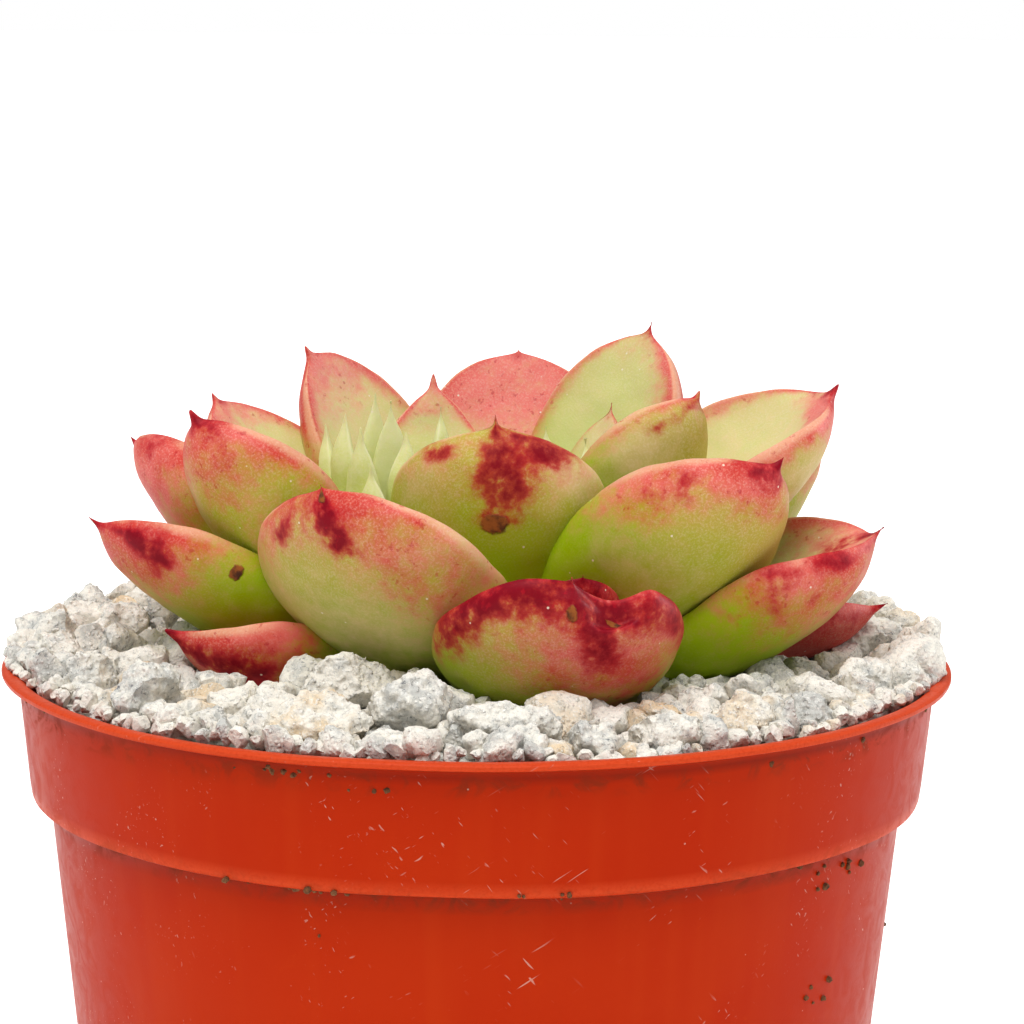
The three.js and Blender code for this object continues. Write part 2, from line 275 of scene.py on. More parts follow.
    @staticmethod
    def places(piece: bpy.types.Object) -> np.ndarray:
        """Reads every vertex's place.

        Args:
            piece: The object to read.

        Returns:
            An array of n rows of x, y and z.
        """
        flat = np.zeros(len(piece.data.vertices) * 3, np.float32)
        piece.data.vertices.foreach_get("co", flat)
        return flat.reshape(-1, 3)


# --- finishes ---------------------------------------------------------------------------


class Palette:
    """Builds one material's node tree with short calls."""

    def __init__(self, name: str) -> None:
        """Starts a material.

        Args:
            name: The material's name.
        """
        self.material = bpy.data.materials.new(name)
        self.material.use_nodes = True
        self.tree = self.material.node_tree
        self.shader = self.tree.nodes["Principled BSDF"]
        self.place = self.tree.nodes.new("ShaderNodeTexCoord").outputs["Object"]

    def wire(self, value: object, socket: bpy.types.NodeSocket) -> None:
        """Links a socket, or sets a plain number or colour.

        Args:
            value: A socket, number or colour.
            socket: The input that takes it.
        """
        if isinstance(value, bpy.types.NodeSocket):
            self.tree.links.new(value, socket)
        elif isinstance(value, (tuple, list)) and len(value) == 3 and socket.type == "RGBA":
            socket.default_value = rgba(value)
        else:
            socket.default_value = value

    def noise(self, size_mm: float, detail: float = 2.0, warp: float = 0.0,
              rough: float = 0.5, place: Optional[object] = None) -> bpy.types.NodeSocket:
        """Adds soft noise.

        Args:
            size_mm: The size of its lumps.
            detail: How many finer layers it has.
            warp: How far it is distorted.
            rough: How strong the finer layers are.
            place: Another coordinate than the object's own.

        Returns:
            The noise value, about 0 to 1.
        """
        node = self.tree.nodes.new("ShaderNodeTexNoise")
        self.wire(place if place is not None else self.place, node.inputs["Vector"])
        node.inputs["Scale"].default_value = 1.0 / (size_mm * MM)
        node.inputs["Detail"].default_value = detail
        node.inputs["Roughness"].default_value = rough
        node.inputs["Distortion"].default_value = warp
        return node.outputs["Fac"]

    def cells(self, size_mm: float) -> bpy.types.NodeSocket:
        """Adds cell noise.

        Args:
            size_mm: The size of a cell.

        Returns:
            The distance to the nearest cell's middle.
        """
        node = self.tree.nodes.new("ShaderNodeTexVoronoi")
        self.wire(self.place, node.inputs["Vector"])
        node.inputs["Scale"].default_value = 1.0 / (size_mm * MM)
        return node.outputs["Distance"]

    def sum(self, how: str, *values: object) -> bpy.types.NodeSocket:
        """Adds a sum.

        Args:
            how: The operation, such as ADD.
            *values: Two or three values, in the operation's own order.

        Returns:
            The result.
        """
        node = self.tree.nodes.new("ShaderNodeMath")
        node.operation = how
        for value, socket in zip(values, node.inputs):
            self.wire(value, socket)
        return node.outputs[0]

    def times(self, a: object, b: object) -> bpy.types.NodeSocket:
        """Multiplies two values."""
        return self.sum("MULTIPLY", a, b)

    def plus(self, value: object, share: object, base: object) -> bpy.types.NodeSocket:
        """Adds a share of a value to a base."""
        return self.sum("MULTIPLY_ADD", value, share, base)

    def centred(self, noise: object) -> bpy.types.NodeSocket:
        """Shifts a noise so that it lies about zero."""
        return self.sum("SUBTRACT", noise, 0.5)

    def step(self, value: object, low: float, high: float, to_low: float = 0.0,
             to_high: float = 1.0) -> bpy.types.NodeSocket:
        """Turns a value into a soft step.

        Args:
            value: What is stepped.
            low: Where the step starts.
            high: Where it ends.
            to_low: The result below the step.
            to_high: The result above it.

        Returns:
            The stepped value.
        """
        node = self.tree.nodes.new("ShaderNodeMapRange")
        node.interpolation_type = "SMOOTHSTEP"
        for number, socket in zip((value, low, high, to_low, to_high), node.inputs):
            self.wire(number, socket)
        return node.outputs["Result"]

    def mix(self, share: object, a: object, b: object) -> bpy.types.NodeSocket:
        """Mixes two colours.

        Args:
            share: How much of the second colour.
            a: The first colour.
            b: The second colour.

        Returns:
            The mixed colour.
        """
        node = self.tree.nodes.new("ShaderNodeMix")
        node.data_type = "RGBA"
        for value, slot in zip((share, a, b), (0, 6, 7)):
            self.wire(value, node.inputs[slot])
        return node.outputs[2]

    def ramp(self, value: object, *stops: tuple[float, Colour]) -> bpy.types.NodeSocket:
        """Colours a value by a ramp.

        Args:
            value: What is coloured.
            *stops: Two places between 0 and 1 with their colours.

        Returns:
            The colour.
        """
        node = self.tree.nodes.new("ShaderNodeValToRGB")
        self.wire(value, node.inputs["Fac"])
        for mark, (at, colour) in zip(node.color_ramp.elements, stops):
            mark.position = at
            mark.color = rgba(colour)
        return node.outputs["Color"]

    def stored(self, name: str) -> bpy.types.NodeSocket:
        """Reads a number that the mesh stores.

        Args:
            name: The attribute's name.

        Returns:
            Its value.
        """
        node = self.tree.nodes.new("ShaderNodeAttribute")
        node.attribute_name = name
        return node.outputs["Fac"]

    def bump(self, height: object, depth_mm: float, strength: float = 1.0,
             under: Optional[bpy.types.NodeSocket] = None) -> bpy.types.NodeSocket:
        """Adds fine relief.

        Args:
            height: The relief's height value.
            depth_mm: How deep a full step is.
            strength: How strongly it is seen.
            under: The normal of relief that lies under this one.

        Returns:
            The bumped normal.
        """
        node = self.tree.nodes.new("ShaderNodeBump")
        node.inputs["Strength"].default_value = strength
        node.inputs["Distance"].default_value = depth_mm * MM
        self.wire(height, node.inputs["Height"])
        if under is not None:
            self.wire(under, node.inputs["Normal"])
        return node.outputs["Normal"]

    def shift(self, by: Point) -> bpy.types.NodeSocket:
        """Moves the object's coordinate, so that a second noise differs from the first.

        Args:
            by: How far, in metres.

        Returns:
            The moved coordinate.
        """
        node = self.tree.nodes.new("ShaderNodeMapping")
        self.wire(self.place, node.inputs["Vector"])
        node.inputs["Location"].default_value = by
        return node.outputs["Vector"]

    def finish(self, colour: object, rough: object, normal: Optional[object] = None,
               **sockets: object) -> bpy.types.Material:
        """Wires the shader.

        Args:
            colour: The base colour.
            rough: The roughness.
            normal: The bumped normal.
            **sockets: Other shader inputs, with _ for a space in their names.

        Returns:
            The finished material.
        """
        self.wire(colour, self.shader.inputs["Base Color"])
        self.wire(rough, self.shader.inputs["Roughness"])
        if normal is not None:
            self.wire(normal, self.shader.inputs["Normal"])
        for key, value in sockets.items():
            self.wire(value, self.shader.inputs[key.replace("_", " ")])
        return self.material


@dataclass(frozen=True)
class LeafSkin:
    """A fleshy leaf's skin: green flesh, coral blush, crimson blots and a pale margin."""

    name: str = "leaf_skin"
    lime: Colour = (0.34, 0.48, 0.0)
    olive: Colour = (0.50, 0.41, 0.07)
    cream: Colour = (0.82, 0.62, 0.38)
    inner: Colour = (0.74, 0.76, 0.38)
    coral: Colour = (0.62, 0.07, 0.05)
    rose: Colour = (0.82, 0.24, 0.21)
    cherry: Colour = (0.47, 0.010, 0.024)
    crimson: Colour = (0.22, 0.0, 0.012)
    tan: Colour = (0.36, 0.12, 0.03)
    husk: Colour = (0.09, 0.035, 0.02)
    powder: Colour = (0.82, 0.76, 0.62)
    rough: float = 0.42

    def make(self) -> bpy.types.Material:
        """Builds the material, which reads the leaf's stored masks.

        Returns:
            The material.
        """
        p = Palette(self.name)
        broad = p.noise(5.0, 3.0)
        mottle = p.noise(1.4, 4.0, rough=0.6)
        grain = p.noise(0.2, 2.0, rough=0.7)
        ragged = p.plus(p.centred(mottle), 1.6, p.times(p.centred(grain), 0.4))
        red = p.stored("crimson")
        flesh, inside = self.flesh(p, broad, ragged)
        loose = p.step(p.stored("blush"), 0.0, 0.4, 0.25, 0.75)
        wash = p.plus(ragged, loose, p.stored("blush"))
        pink = p.sum("MAXIMUM", p.step(broad, 0.4, 0.6, 0.0, 0.45), p.times(inside, 0.85))
        skin = p.mix(p.step(wash, 0.0, 1.05), flesh, p.mix(pink, self.coral, self.rose))
        margin = p.times(p.step(p.stored("margin"), 0.4, 1.0, 0.0, 0.5), p.step(red, 0.1, 0.5, 1.0, 0.0))
        skin = p.mix(margin, skin, self.cream)
        outward = p.step(p.stored("along"), 0.4, 0.85, 0.12, 1.0)
        skin = p.mix(p.times(p.step(grain, 0.42, 0.72, 0.0, 0.24), outward), skin, self.powder)
        spatter = p.plus(p.times(p.centred(mottle), 2.6), red, red)
        skin = p.mix(p.step(spatter, 0.18, 0.85, 0.0, 0.85), skin, self.cherry)
        skin = p.mix(p.step(spatter, 0.55, 1.35, 0.0, 0.9), skin, self.crimson)
        freckle = p.noise(0.7, 3.0, rough=0.6, place=p.shift((0.2, 0.7, 0.1)))
        freckle = p.times(p.step(freckle, 0.60, 0.70), p.step(p.stored("blush"), 0.1, 0.6, 0.0, 0.5))
        skin = p.mix(freckle, skin, self.cherry)
        scar = p.step(p.plus(ragged, 0.4, p.stored("scar")), 0.42, 0.62)
        dry = p.step(p.plus(ragged, 0.4, p.stored("dry")), 0.4, 0.6)
        corky = p.mix(p.step(mottle, 0.35, 0.6), self.husk, self.tan)
        skin = p.mix(p.sum("MAXIMUM", scar, dry), skin, corky)
        skin = p.mix(p.step(p.cells(2.4), 0.03, 0.055, 0.85, 0.0), skin, self.powder)
        relief = p.bump(broad, 0.35, 0.45)
        relief = p.bump(grain, 0.04, 0.5, relief)
        relief = p.bump(p.sum("ADD", scar, dry), 0.3, 0.6, relief)
        rough = p.step(p.sum("ADD", grain, scar), 0.2, 1.2, self.rough - 0.06, self.rough + 0.3)
        return p.finish(skin, rough, relief, Subsurface_Weight=0.10, Subsurface_Scale=0.0012,
                        Subsurface_Radius=(1.0, 0.6, 0.25), Specular_IOR_Level=0.12)

    def flesh(self, p: Palette, broad: bpy.types.NodeSocket,
              ragged: bpy.types.NodeSocket) -> tuple[bpy.types.NodeSocket, bpy.types.NodeSocket]:
        """Colours the flesh under the reds: lime at the seat, olive above, paler inside.

        Args:
            p: The material's palette.
            broad: Soft, broad noise.
            ragged: Finer noise about zero.

        Returns:
            The flesh colour, and how far a place is on the leaf's upper face.
        """
        height = p.plus(p.centred(broad), 0.4, p.stored("along"))
        flesh = p.mix(p.step(height, 0.42, 0.86), self.lime, self.olive)
        inside = p.step(p.stored("face"), 0.0, 0.8)
        flesh = p.mix(p.times(inside, 0.6), flesh, self.inner)
        pale = p.plus(ragged, 0.4, p.stored("pale"))
        return p.mix(p.step(pale, 0.0, 1.0, 0.0, 0.85), flesh, self.cream), inside


@dataclass(frozen=True)
class PotPlastic:
    """Satin red-orange moulded plastic with fine scratches, scuffs and dust, and painted shade, highlights
    and reflections.
    """

    name: str = "pot_plastic"
    body: Colour = (0.45, 0.025, 0.0)
    # worn: a lighter tone of the plastic, also used for the painted vertical reflection streaks
    worn_and_sheen: Colour = (0.52, 0.052, 0.004)
    # edge: the lighter colour of rubbed edges, also the painted highlight on them
    edge: Colour = (0.70, 0.10, 0.03)
    dust: Colour = (0.75, 0.62, 0.52)
    # soil: the colour of dirt, also used for painted shade under the lip and in the collar's crease
    soil: Colour = (0.10, 0.035, 0.015)
    shadow: Colour = (0.15, 0.010, 0.003)
    rough: float = 0.36

    def make(self) -> bpy.types.Material:
        """Builds the material.

        Returns:
            The material.
        """
        p = Palette(self.name)
        cloud = p.noise(14.0, 3.0)
        smear = p.noise(3.0, 4.0, warp=1.5, rough=0.65)
        fine = p.noise(0.25, 2.0)
        shade = p.mix(p.step(cloud, 0.35, 0.7, 0.0, 0.22), self.body, self.worn_and_sheen)
        shade = p.mix(p.step(smear, 0.62, 0.8, 0.0, 0.25), shade, self.worn_and_sheen)
        where = p.step(p.noise(7.0, 2.0, place=p.shift((0.3, 0.1, 0.0))), 0.48, 0.66)
        steep, slant = self.scratches(p, (0.2, 1.0, 0.3)), self.scratches(p, (0.3, -0.7, 0.0))
        scratch = p.times(p.sum("MAXIMUM", steep, slant), where)
        # Faint vertical lighter streaks, partly mould lines and partly painted reflection.
        mould_line_and_reflection = self.scratches(p, (0.0, 0.0, 0.0), 2.6, 0.02, 0.45, 0.80)
        specks = p.times(p.step(p.cells(1.9), 0.03, 0.055, 1.0, 0.0), p.step(smear, 0.45, 0.7))
        # Wear with painted highlight on the lip's top and the collar's lower edge.
        wear_and_highlight = p.times(p.stored("wear_and_highlight"), p.step(fine, 0.2, 0.6, 0.5, 0.9))
        # Dirt with painted shade: patchy soil colour under the lip, at the collar's edge and in its crease.
        dirt_and_painted_shade = p.times(p.stored("dirt_and_painted_shade"), p.step(smear, 0.45, 0.65))
        for share, colour in ((p.times(scratch, 0.4), self.dust), (p.times(mould_line_and_reflection, 0.2), self.worn_and_sheen),
                              (specks, self.dust), (wear_and_highlight, self.edge),
                              # painted shadow: a thin dark line under the lip and in the crease under the
                              # collar
                              (p.times(p.stored("painted_shadow"), 0.8), self.shadow),
                              (p.times(dirt_and_painted_shade, 0.7), self.soil)):
            shade = p.mix(share, shade, colour)
        rough = p.step(smear, 0.3, 0.8, self.rough - 0.05, self.rough + 0.12)
        rough = p.plus(p.sum("ADD", scratch, dirt_and_painted_shade), 0.25, rough)
        relief = p.bump(cloud, 0.5, 0.25)
        relief = p.bump(p.plus(scratch, -2.0, fine), 0.02, 0.35, relief)
        return p.finish(shade, rough, relief, Specular_IOR_Level=0.07)

    @staticmethod
    def scratches(p: Palette, turn: Point, wide_mm: float = 0.28, squash: float = 0.06,
                  low: float = 0.70, high: float = 0.78) -> bpy.types.NodeSocket:
        """Draws noise out into long, thin lines.

        Args:
            p: The material's palette.
            turn: How the lines are turned, in radians.
            wide_mm: How wide they are.
            squash: Their width as a share of their length.
            low: Where a line's soft edge starts.
            high: Where it ends.

        Returns:
            The lines, from 0 to 1.
        """
        stretched = p.tree.nodes.new("ShaderNodeMapping")
        p.wire(p.place, stretched.inputs["Vector"])
        stretched.vector_type = "TEXTURE"
        stretched.inputs["Rotation"].default_value = turn
        stretched.inputs["Scale"].default_value = (1.0, 1.0, 1.0 / squash)
        return p.step(p.noise(wide_mm, 1.0, place=stretched.outputs["Vector"]), low, high)


@dataclass(frozen=True)
class PumiceRock:
    """Crumbly white-grey pumice with sugary grains, dark mineral specks, painted shade in its pits and
    painted glints.
    """

    name: str = "pumice"
    white: Colour = (0.90, 0.86, 0.77)
    # grey and slate also paint shade into the pits of the fine relief
    grey: Colour = (0.56, 0.56, 0.53)
    slate: Colour = (0.10, 0.11, 0.13)
    cream: Colour = (0.80, 0.62, 0.40)
    # crystal: pale crystal grains, also used for painted glints
    crystal_and_glint: Colour = (0.95, 0.93, 0.88)

    def make(self) -> bpy.types.Material:
        """Builds the material, which reads each stone's stored tone and warmth.

        Returns:
            The material.
        """
        p = Palette(self.name)
        lump = p.noise(1.8, 4.0, rough=0.65)
        grain = p.noise(0.5, 4.0, rough=0.8)
        sugar = p.cells(0.5)
        tone = p.stored("tone")
        grit = p.noise(0.22, 2.0, rough=0.8)
        base = p.mix(p.step(p.plus(tone, 0.18, lump), 0.52, 0.74, 0.0, 0.85), self.white, self.grey)
        base = p.mix(p.times(p.stored("warm"), p.step(p.noise(3.0, 2.0), 0.35, 0.65)), base, self.cream)
        fleck = p.step(p.noise(0.5, 3.0, warp=1.0, rough=0.75, place=p.shift((1.0, 0.0, 0.4))), 0.585, 0.65)
        fleck = p.times(fleck, p.step(lump, 0.42, 0.60, 0.1, 1.0))
        base = p.mix(p.times(fleck, p.step(tone, -0.2, 1.2, 0.5, 1.0)), base, self.slate)
        # Grey and slate where grit and grain are low are painted shade in the pits of the relief.
        for value, low, high, at_low, at_high, colour in (
                (grit, 0.30, 0.50, 0.25, 0.0, self.grey), (grit, 0.24, 0.35, 0.35, 0.0, self.slate),
                # Bright marks on the grains' peaks and cells: partly pale crystals, partly painted glints.
                (grain, 0.34, 0.47, 0.45, 0.0, self.grey), (grain, 0.52, 0.64, 0.0, 0.7, self.crystal_and_glint),
                (sugar, 0.05, 0.25, 0.8, 0.0, self.crystal_and_glint)):
            base = p.mix(p.step(value, low, high, at_low, at_high), base, colour)
        relief = p.bump(lump, 0.4, 0.4)
        relief = p.bump(grain, 0.25, 0.8, relief)
        relief = p.bump(grit, 0.09, 0.6, relief)
        relief = p.bump(p.step(sugar, 0.0, 0.5, 1.0, 0.0), 0.15, 0.8, relief)
        return p.finish(base, 0.9, relief, Specular_IOR_Level=0.3)


@dataclass(frozen=True)
class EarthyFinish:
    """A dark, crumbly or fibrous finish for potting mix, crumbs, stem and roots."""

    name: str
    dark: Colour
    light: Colour
    lump_mm: float
    relief_mm: float

    def make(self) -> bpy.types.Material:
        """Builds the material.

        Returns:
            The material.
        """
        p = Palette(self.name)
        lump = p.noise(self.lump_mm, 4.0, rough=0.7)
        crumb = p.cells(self.lump_mm * 0.6)
        shade = p.ramp(lump, (0.3, self.dark), (0.7, self.light))
        shade = p.mix(p.step(crumb, 0.05, 0.5, 0.5, 0.0), shade, self.light)
        relief = p.bump(lump, self.relief_mm, 0.8)
        relief = p.bump(p.noise(self.lump_mm * 0.2, 2.0), self.relief_mm * 0.3, 0.6, relief)
        return p.finish(shade, p.step(lump, 0.2, 0.8, 0.8, 0.98), relief, Specular_IOR_Level=0.3)


@dataclass(frozen=True)
class StudioPaper:
    """The pale paper that the pot stands on."""

    name: str = "studio_paper"
    shade: Colour = (0.93, 0.93, 0.93)

    def make(self) -> bpy.types.Material:
        """Builds the material.

        Returns:
            The material.
        """
        p = Palette(self.name)
        fibre = p.noise(2.0, 3.0)
        tint = p.mix(p.step(fibre, 0.3, 0.7), self.shade, tuple(0.985 * c for c in self.shade))
        return p.finish(tint, 0.9, p.bump(fibre, 0.02, 0.2), Specular_IOR_Level=0.2,
                        Emission_Color=rgba(self.shade), Emission_Strength=0.35)


# --- leaves -----------------------------------------------------------------------------


@dataclass(frozen=True)
class Outline:
    """How a leaf's width and thickness run from its seat to its tip, in millimetres.

    peak is where the blade is widest and taper draws its far end to a point. The pointed end
    is spine long and spine_radius thick. flat is the upper face's share of the thickness.
    """

    peak: float
    taper: float
    spine: float
    spine_radius: float
    flat: float
    width: float
    thick: float
    length: float

    def half_sizes(self, share: float) -> tuple[float, float]:
        """Works out a section.

        Args:
            share: How far along the leaf, from 0 at its seat to 1 at its tip.

        Returns:
            Half the width and half the thickness there.
        """
        blade_end = 1 - self.spine / self.length
        within = min(share / blade_end, 1.0)
        before = within < self.peak
        from_peak = (self.peak - within) / self.peak if before else (within - self.peak) / (1 - self.peak)
        body = math.sin(math.pi * within ** 0.85)
        past = max(0.0, (share - blade_end + 0.1) / (1.1 - blade_end))
        grown = between((share - 0.3) / 0.4)
        point = self.spine_radius * (1 - past) ** 0.9 * grown * grown * (3 - 2 * grown)
        width = self.width / 2 * max(1 - from_peak ** 2, 0.0) ** (0.5 if before else self.taper)
        thick = self.thick / 2 * max(body, 0.0) ** 0.6
        return ((width ** 2.5 + point ** 2.5) ** 0.4, (thick ** 2.5 + point ** 2.5) ** 0.4)


class Form(Enum):
    """The forms that a leaf takes."""

    BROAD = Outline(0.58, 0.62, 1.2, 1.0, 0.3, 17, 5, 27)
    SPEAR = Outline(0.48, 0.85, 1.6, 0.9, 0.3, 12, 4.5, 23)
    BLUNT = Outline(0.60, 0.50, 0.6, 0.6, 0.3, 21, 5.5, 26)
    OBOVATE = Outline(0.64, 0.55, 1.4, 1.1, 0.3, 19.5, 5.5, 24)
    BUD = Outline(0.45, 0.90, 1.2, 0.45, 0.5, 3.6, 2.6, 12)


class Mark(Enum):
    """The kinds of marking on a leaf, each named as the mask that the skin reads."""

    BLUSH = "blush"
    CRIMSON = "crimson"
    PALE = "pale"
    SCAR = "scar"
    DRY = "dry"


@dataclass(frozen=True)
class Dress:
    """A leaf's colouring: where its coral starts, and how strong coral, margins and tip are.

    Each marking in marks is a soft-edged spot: its share along the leaf and across it (-1 to
    1), how long and how wide it is in the same shares, and its strength.
    """

    blush_from: float = 0.55
    blush: float = 0.8
    edge: float = 0.6
    pale: float = 0.15
    tip: float = 0.8
    marks: dict[Mark, tuple[Spot, ...]] = field(default_factory=dict)


class LeafPattern:
    """Shapes one leaf of each form, which every leaf of that form is copied from."""

    FINE = (40, 36)
    SLIM = (16, 18)

    def __init__(self) -> None:
        """Builds the patterns."""
        self.patterns = {form: self.shape(form) for form in Form}

    def shape(self, form: Form) -> bpy.types.Object:
        """Draws a sphere out into a leaf that stands on its seat, its upper face to +Y.

        Args:
            form: The form to build.

        Returns:
            The pattern, with its shares along and across stored for the markings.
        """
        outline = form.value
        sides, rings = self.SLIM if form is Form.BUD else self.FINE
        reach = outline.length * MM / 2
        Bench.clear()
        bpy.ops.mesh.primitive_uv_sphere_add(segments=sides, ring_count=rings, radius=reach,
                                             location=(0, 0, reach))
        piece = Bench.made("pattern_" + form.name.lower())
        Bench.settle(piece)
        Bench.open(piece)
        for ring in range(1, rings):
            turn = math.pi * ring / rings
            height = reach * (1 - math.cos(turn))
            width, thick = outline.half_sizes(height / reach / 2)
            Bench.pick(piece, lambda at: abs(at.z - height) < 1e-6)
            round_radius = reach * math.sin(turn)
            bpy.ops.transform.resize(value=(width * MM / round_radius, thick * MM / round_radius, 1),
                                     center_override=(0, 0, height))
        for side, share in ((1, outline.flat), (-1, 2 - outline.flat)):
            Bench.pick(piece, lambda at: at.y * side > 1e-7)
            bpy.ops.transform.resize(value=(1, share, 1), center_override=(0, 0, 0))
        Bench.shut()
        self.mark_shares(piece, outline)
        return piece

    @staticmethod
    def mark_shares(piece: bpy.types.Object, outline: Outline) -> None:
        """Stores each vertex's share along and across, and which face it is on.

        Args:
            piece: The shaped pattern.
            outline: The outline that it was shaped by.
        """
        at = Bench.places(piece) / MM
        along = np.clip(at[:, 2] / outline.length, 0, 1)
        halves = np.array([outline.half_sizes(share) for share in along])
        Bench.paint(piece, "along", along)
        Bench.paint(piece, "across", np.clip(at[:, 0] / np.maximum(halves[:, 0], 1e-3), -1, 1))
        Bench.paint(piece, "face", np.clip(at[:, 1] / np.maximum(halves[:, 1], 1e-3) * 3, -1, 1))

    def discard(self) -> None:
        """Removes the patterns once every leaf is cut."""
        Bench.discard(self.patterns.values())


@dataclass(frozen=True)
class Leaf:
    """One leaf: its seat and tip as x, y and height over the rim, its size and its bends.

    Lengths are in millimetres and bends in degrees. cup bends the leaf across and curl along,
    roll turns it about its own length, and bow moves its middle sideways.
    """

    name: str
    seat: Point
    tip: Point
    width: float
    thick: float
    cup: float = 50.0
    curl: float = 30.0
    roll: float = 0.0
    bow: float = 0.0
    form: Form = Form.BROAD
    notched: bool = False
    dress: Dress = field(default_factory=Dress)

    # An arc turns by about eight times its rise over its chord.
    ARC_PER_BOW = 8
    SWELL = (7.0, 0.7)
    # Each push into a notched leaf's far edge: its place across, how far down it takes hold,
    # its depth and its reach, in millimetres, and half the width that it takes hold of.
    BITES = ((0.0, 0.9, 0.8, 1.8), (3.4, 2.4, 2.6, 2.6))
    BITE_HALF = 0.9

    @property
    def node(self) -> str:
        """Returns the frame node that this leaf stands for."""
        return "leaf_" + self.name

    def build(self, patterns: LeafPattern, rim: float, skin: bpy.types.Material) -> bpy.types.Object:
        """Copies the pattern, sizes and bends it, and sets it on its seat.

        Args:
            patterns: The patterns to copy.
            rim: The height that seats and tips are measured from, in metres.
            skin: The leaf's finish.

        Returns:
            The finished leaf.
        """
        seat = Vector(self.seat) * MM + Vector((0, 0, rim))
        tip = Vector(self.tip) * MM + Vector((0, 0, rim))
        curl, sway = math.radians(self.curl), -self.ARC_PER_BOW * self.bow
        length = (tip - seat).length * (curl / 2) / math.sin(curl / 2)
        if sway:
            length *= (sway / 2) / math.sin(sway / 2)
        outline = self.form.value
        piece = Bench.copy(patterns.patterns[self.form], "plant_" + self.node)
        piece.scale = (self.width / outline.width, self.thick / outline.thick,
                       length / (outline.length * MM))
        Bench.settle(piece)
        if self.notched:
            self.bite(piece)
        Bench.apply(piece, "SUBSURF", levels=1, render_levels=1)
        self.bend(piece, "Z", math.radians(self.cup))
        self.bend(piece, "X", curl)
        self.turn(piece, Matrix.Rotation(curl / 2, 4, "X"))
        if sway:
            self.bend(piece, "Y", sway)
            self.turn(piece, Matrix.Rotation(-sway / 2, 4, "Y"))
        self.turn(piece, self.stance(seat, tip))
        Bench.roughen(piece, *(MM * size for size in self.SWELL))
        Bench.smooth(piece, 80)
        self.mark(piece)
        piece.data.materials.append(skin)
        return piece

    @staticmethod
    def bend(piece: bpy.types.Object, axis: str, angle: float) -> None:
        """Bends a piece about an axis, over its whole extent, by an angle in radians."""
        Bench.apply(piece, "SIMPLE_DEFORM", deform_method="BEND", deform_axis=axis, angle=angle)

    @staticmethod
    def turn(piece: bpy.types.Object, move: Matrix) -> None:
        """Turns or places a piece and puts that into its mesh."""
        piece.matrix_world = move
        Bench.settle(piece)

    def bite(self, piece: bpy.types.Object) -> None:
        """Flattens the tip and pushes a rounded notch into the far edge.

        Args:
            piece: The sized leaf, still straight.
        """
        top = max(vertex.co.z for vertex in piece.data.vertices)
        Bench.open(piece)
        for side, hold, depth, reach in self.BITES:
            half = self.BITE_HALF * MM
            Bench.pick(piece, lambda at: abs(at.x - side * MM) < half and at.z > top - hold * MM)
            bpy.ops.transform.translate(value=(0, 0, -depth * MM), use_proportional_edit=True,
                                        proportional_edit_falloff="SMOOTH", proportional_size=reach * MM)
        Bench.shut()

    def stance(self, seat: Vector, tip: Vector) -> Matrix:
        """Works out how the leaf stands.

        Args:
            seat: Where it starts.
            tip: Where it ends.

        Returns:
            The move from a leaf standing on the origin along +Z to this one.
        """
        along = (tip - seat).normalized()
        upper = (Vector((0, 0, 1)) - along * along.z).normalized()
        upper = Matrix.Rotation(math.radians(self.roll), 3, along) @ upper
        side = upper.cross(along)
        move = Matrix((side, upper, along)).transposed().to_4x4()
        move.translation = seat
        return move

    def mark(self, piece: bpy.types.Object) -> None:
        """Stores the masks that the leaf's skin is coloured by.

        Args:
            piece: The leaf in its place.
        """
        along, across = Bench.read(piece, "along"), Bench.read(piece, "across")
        dress = self.dress
        edge = rise_from(np.abs(across), 0.7, 0.3) ** 1.5
        upward = rise_from(along, 0.3, 0.4)
        masks = {mark: np.zeros(len(along)) for mark in Mark}
        masks[Mark.BLUSH] += dress.blush * rise_from(along, dress.blush_from, 0.3)
        masks[Mark.BLUSH] += dress.edge * edge * upward
        masks[Mark.PALE] += dress.pale
        masks[Mark.CRIMSON] += dress.tip * rise_from(along, 0.9, 0.08)
        for mark, spots in dress.marks.items():
            for middle, side, long, wide, strength in spots:
                masks[mark] += strength * hump(along, middle, long) * hump(across, side, wide)
        for mark, mask in masks.items():
            Bench.paint(piece, mark.value, np.clip(mask, 0, 1.2))
        Bench.paint(piece, "margin", rise_from(np.abs(across), 0.9, 0.1) * upward)


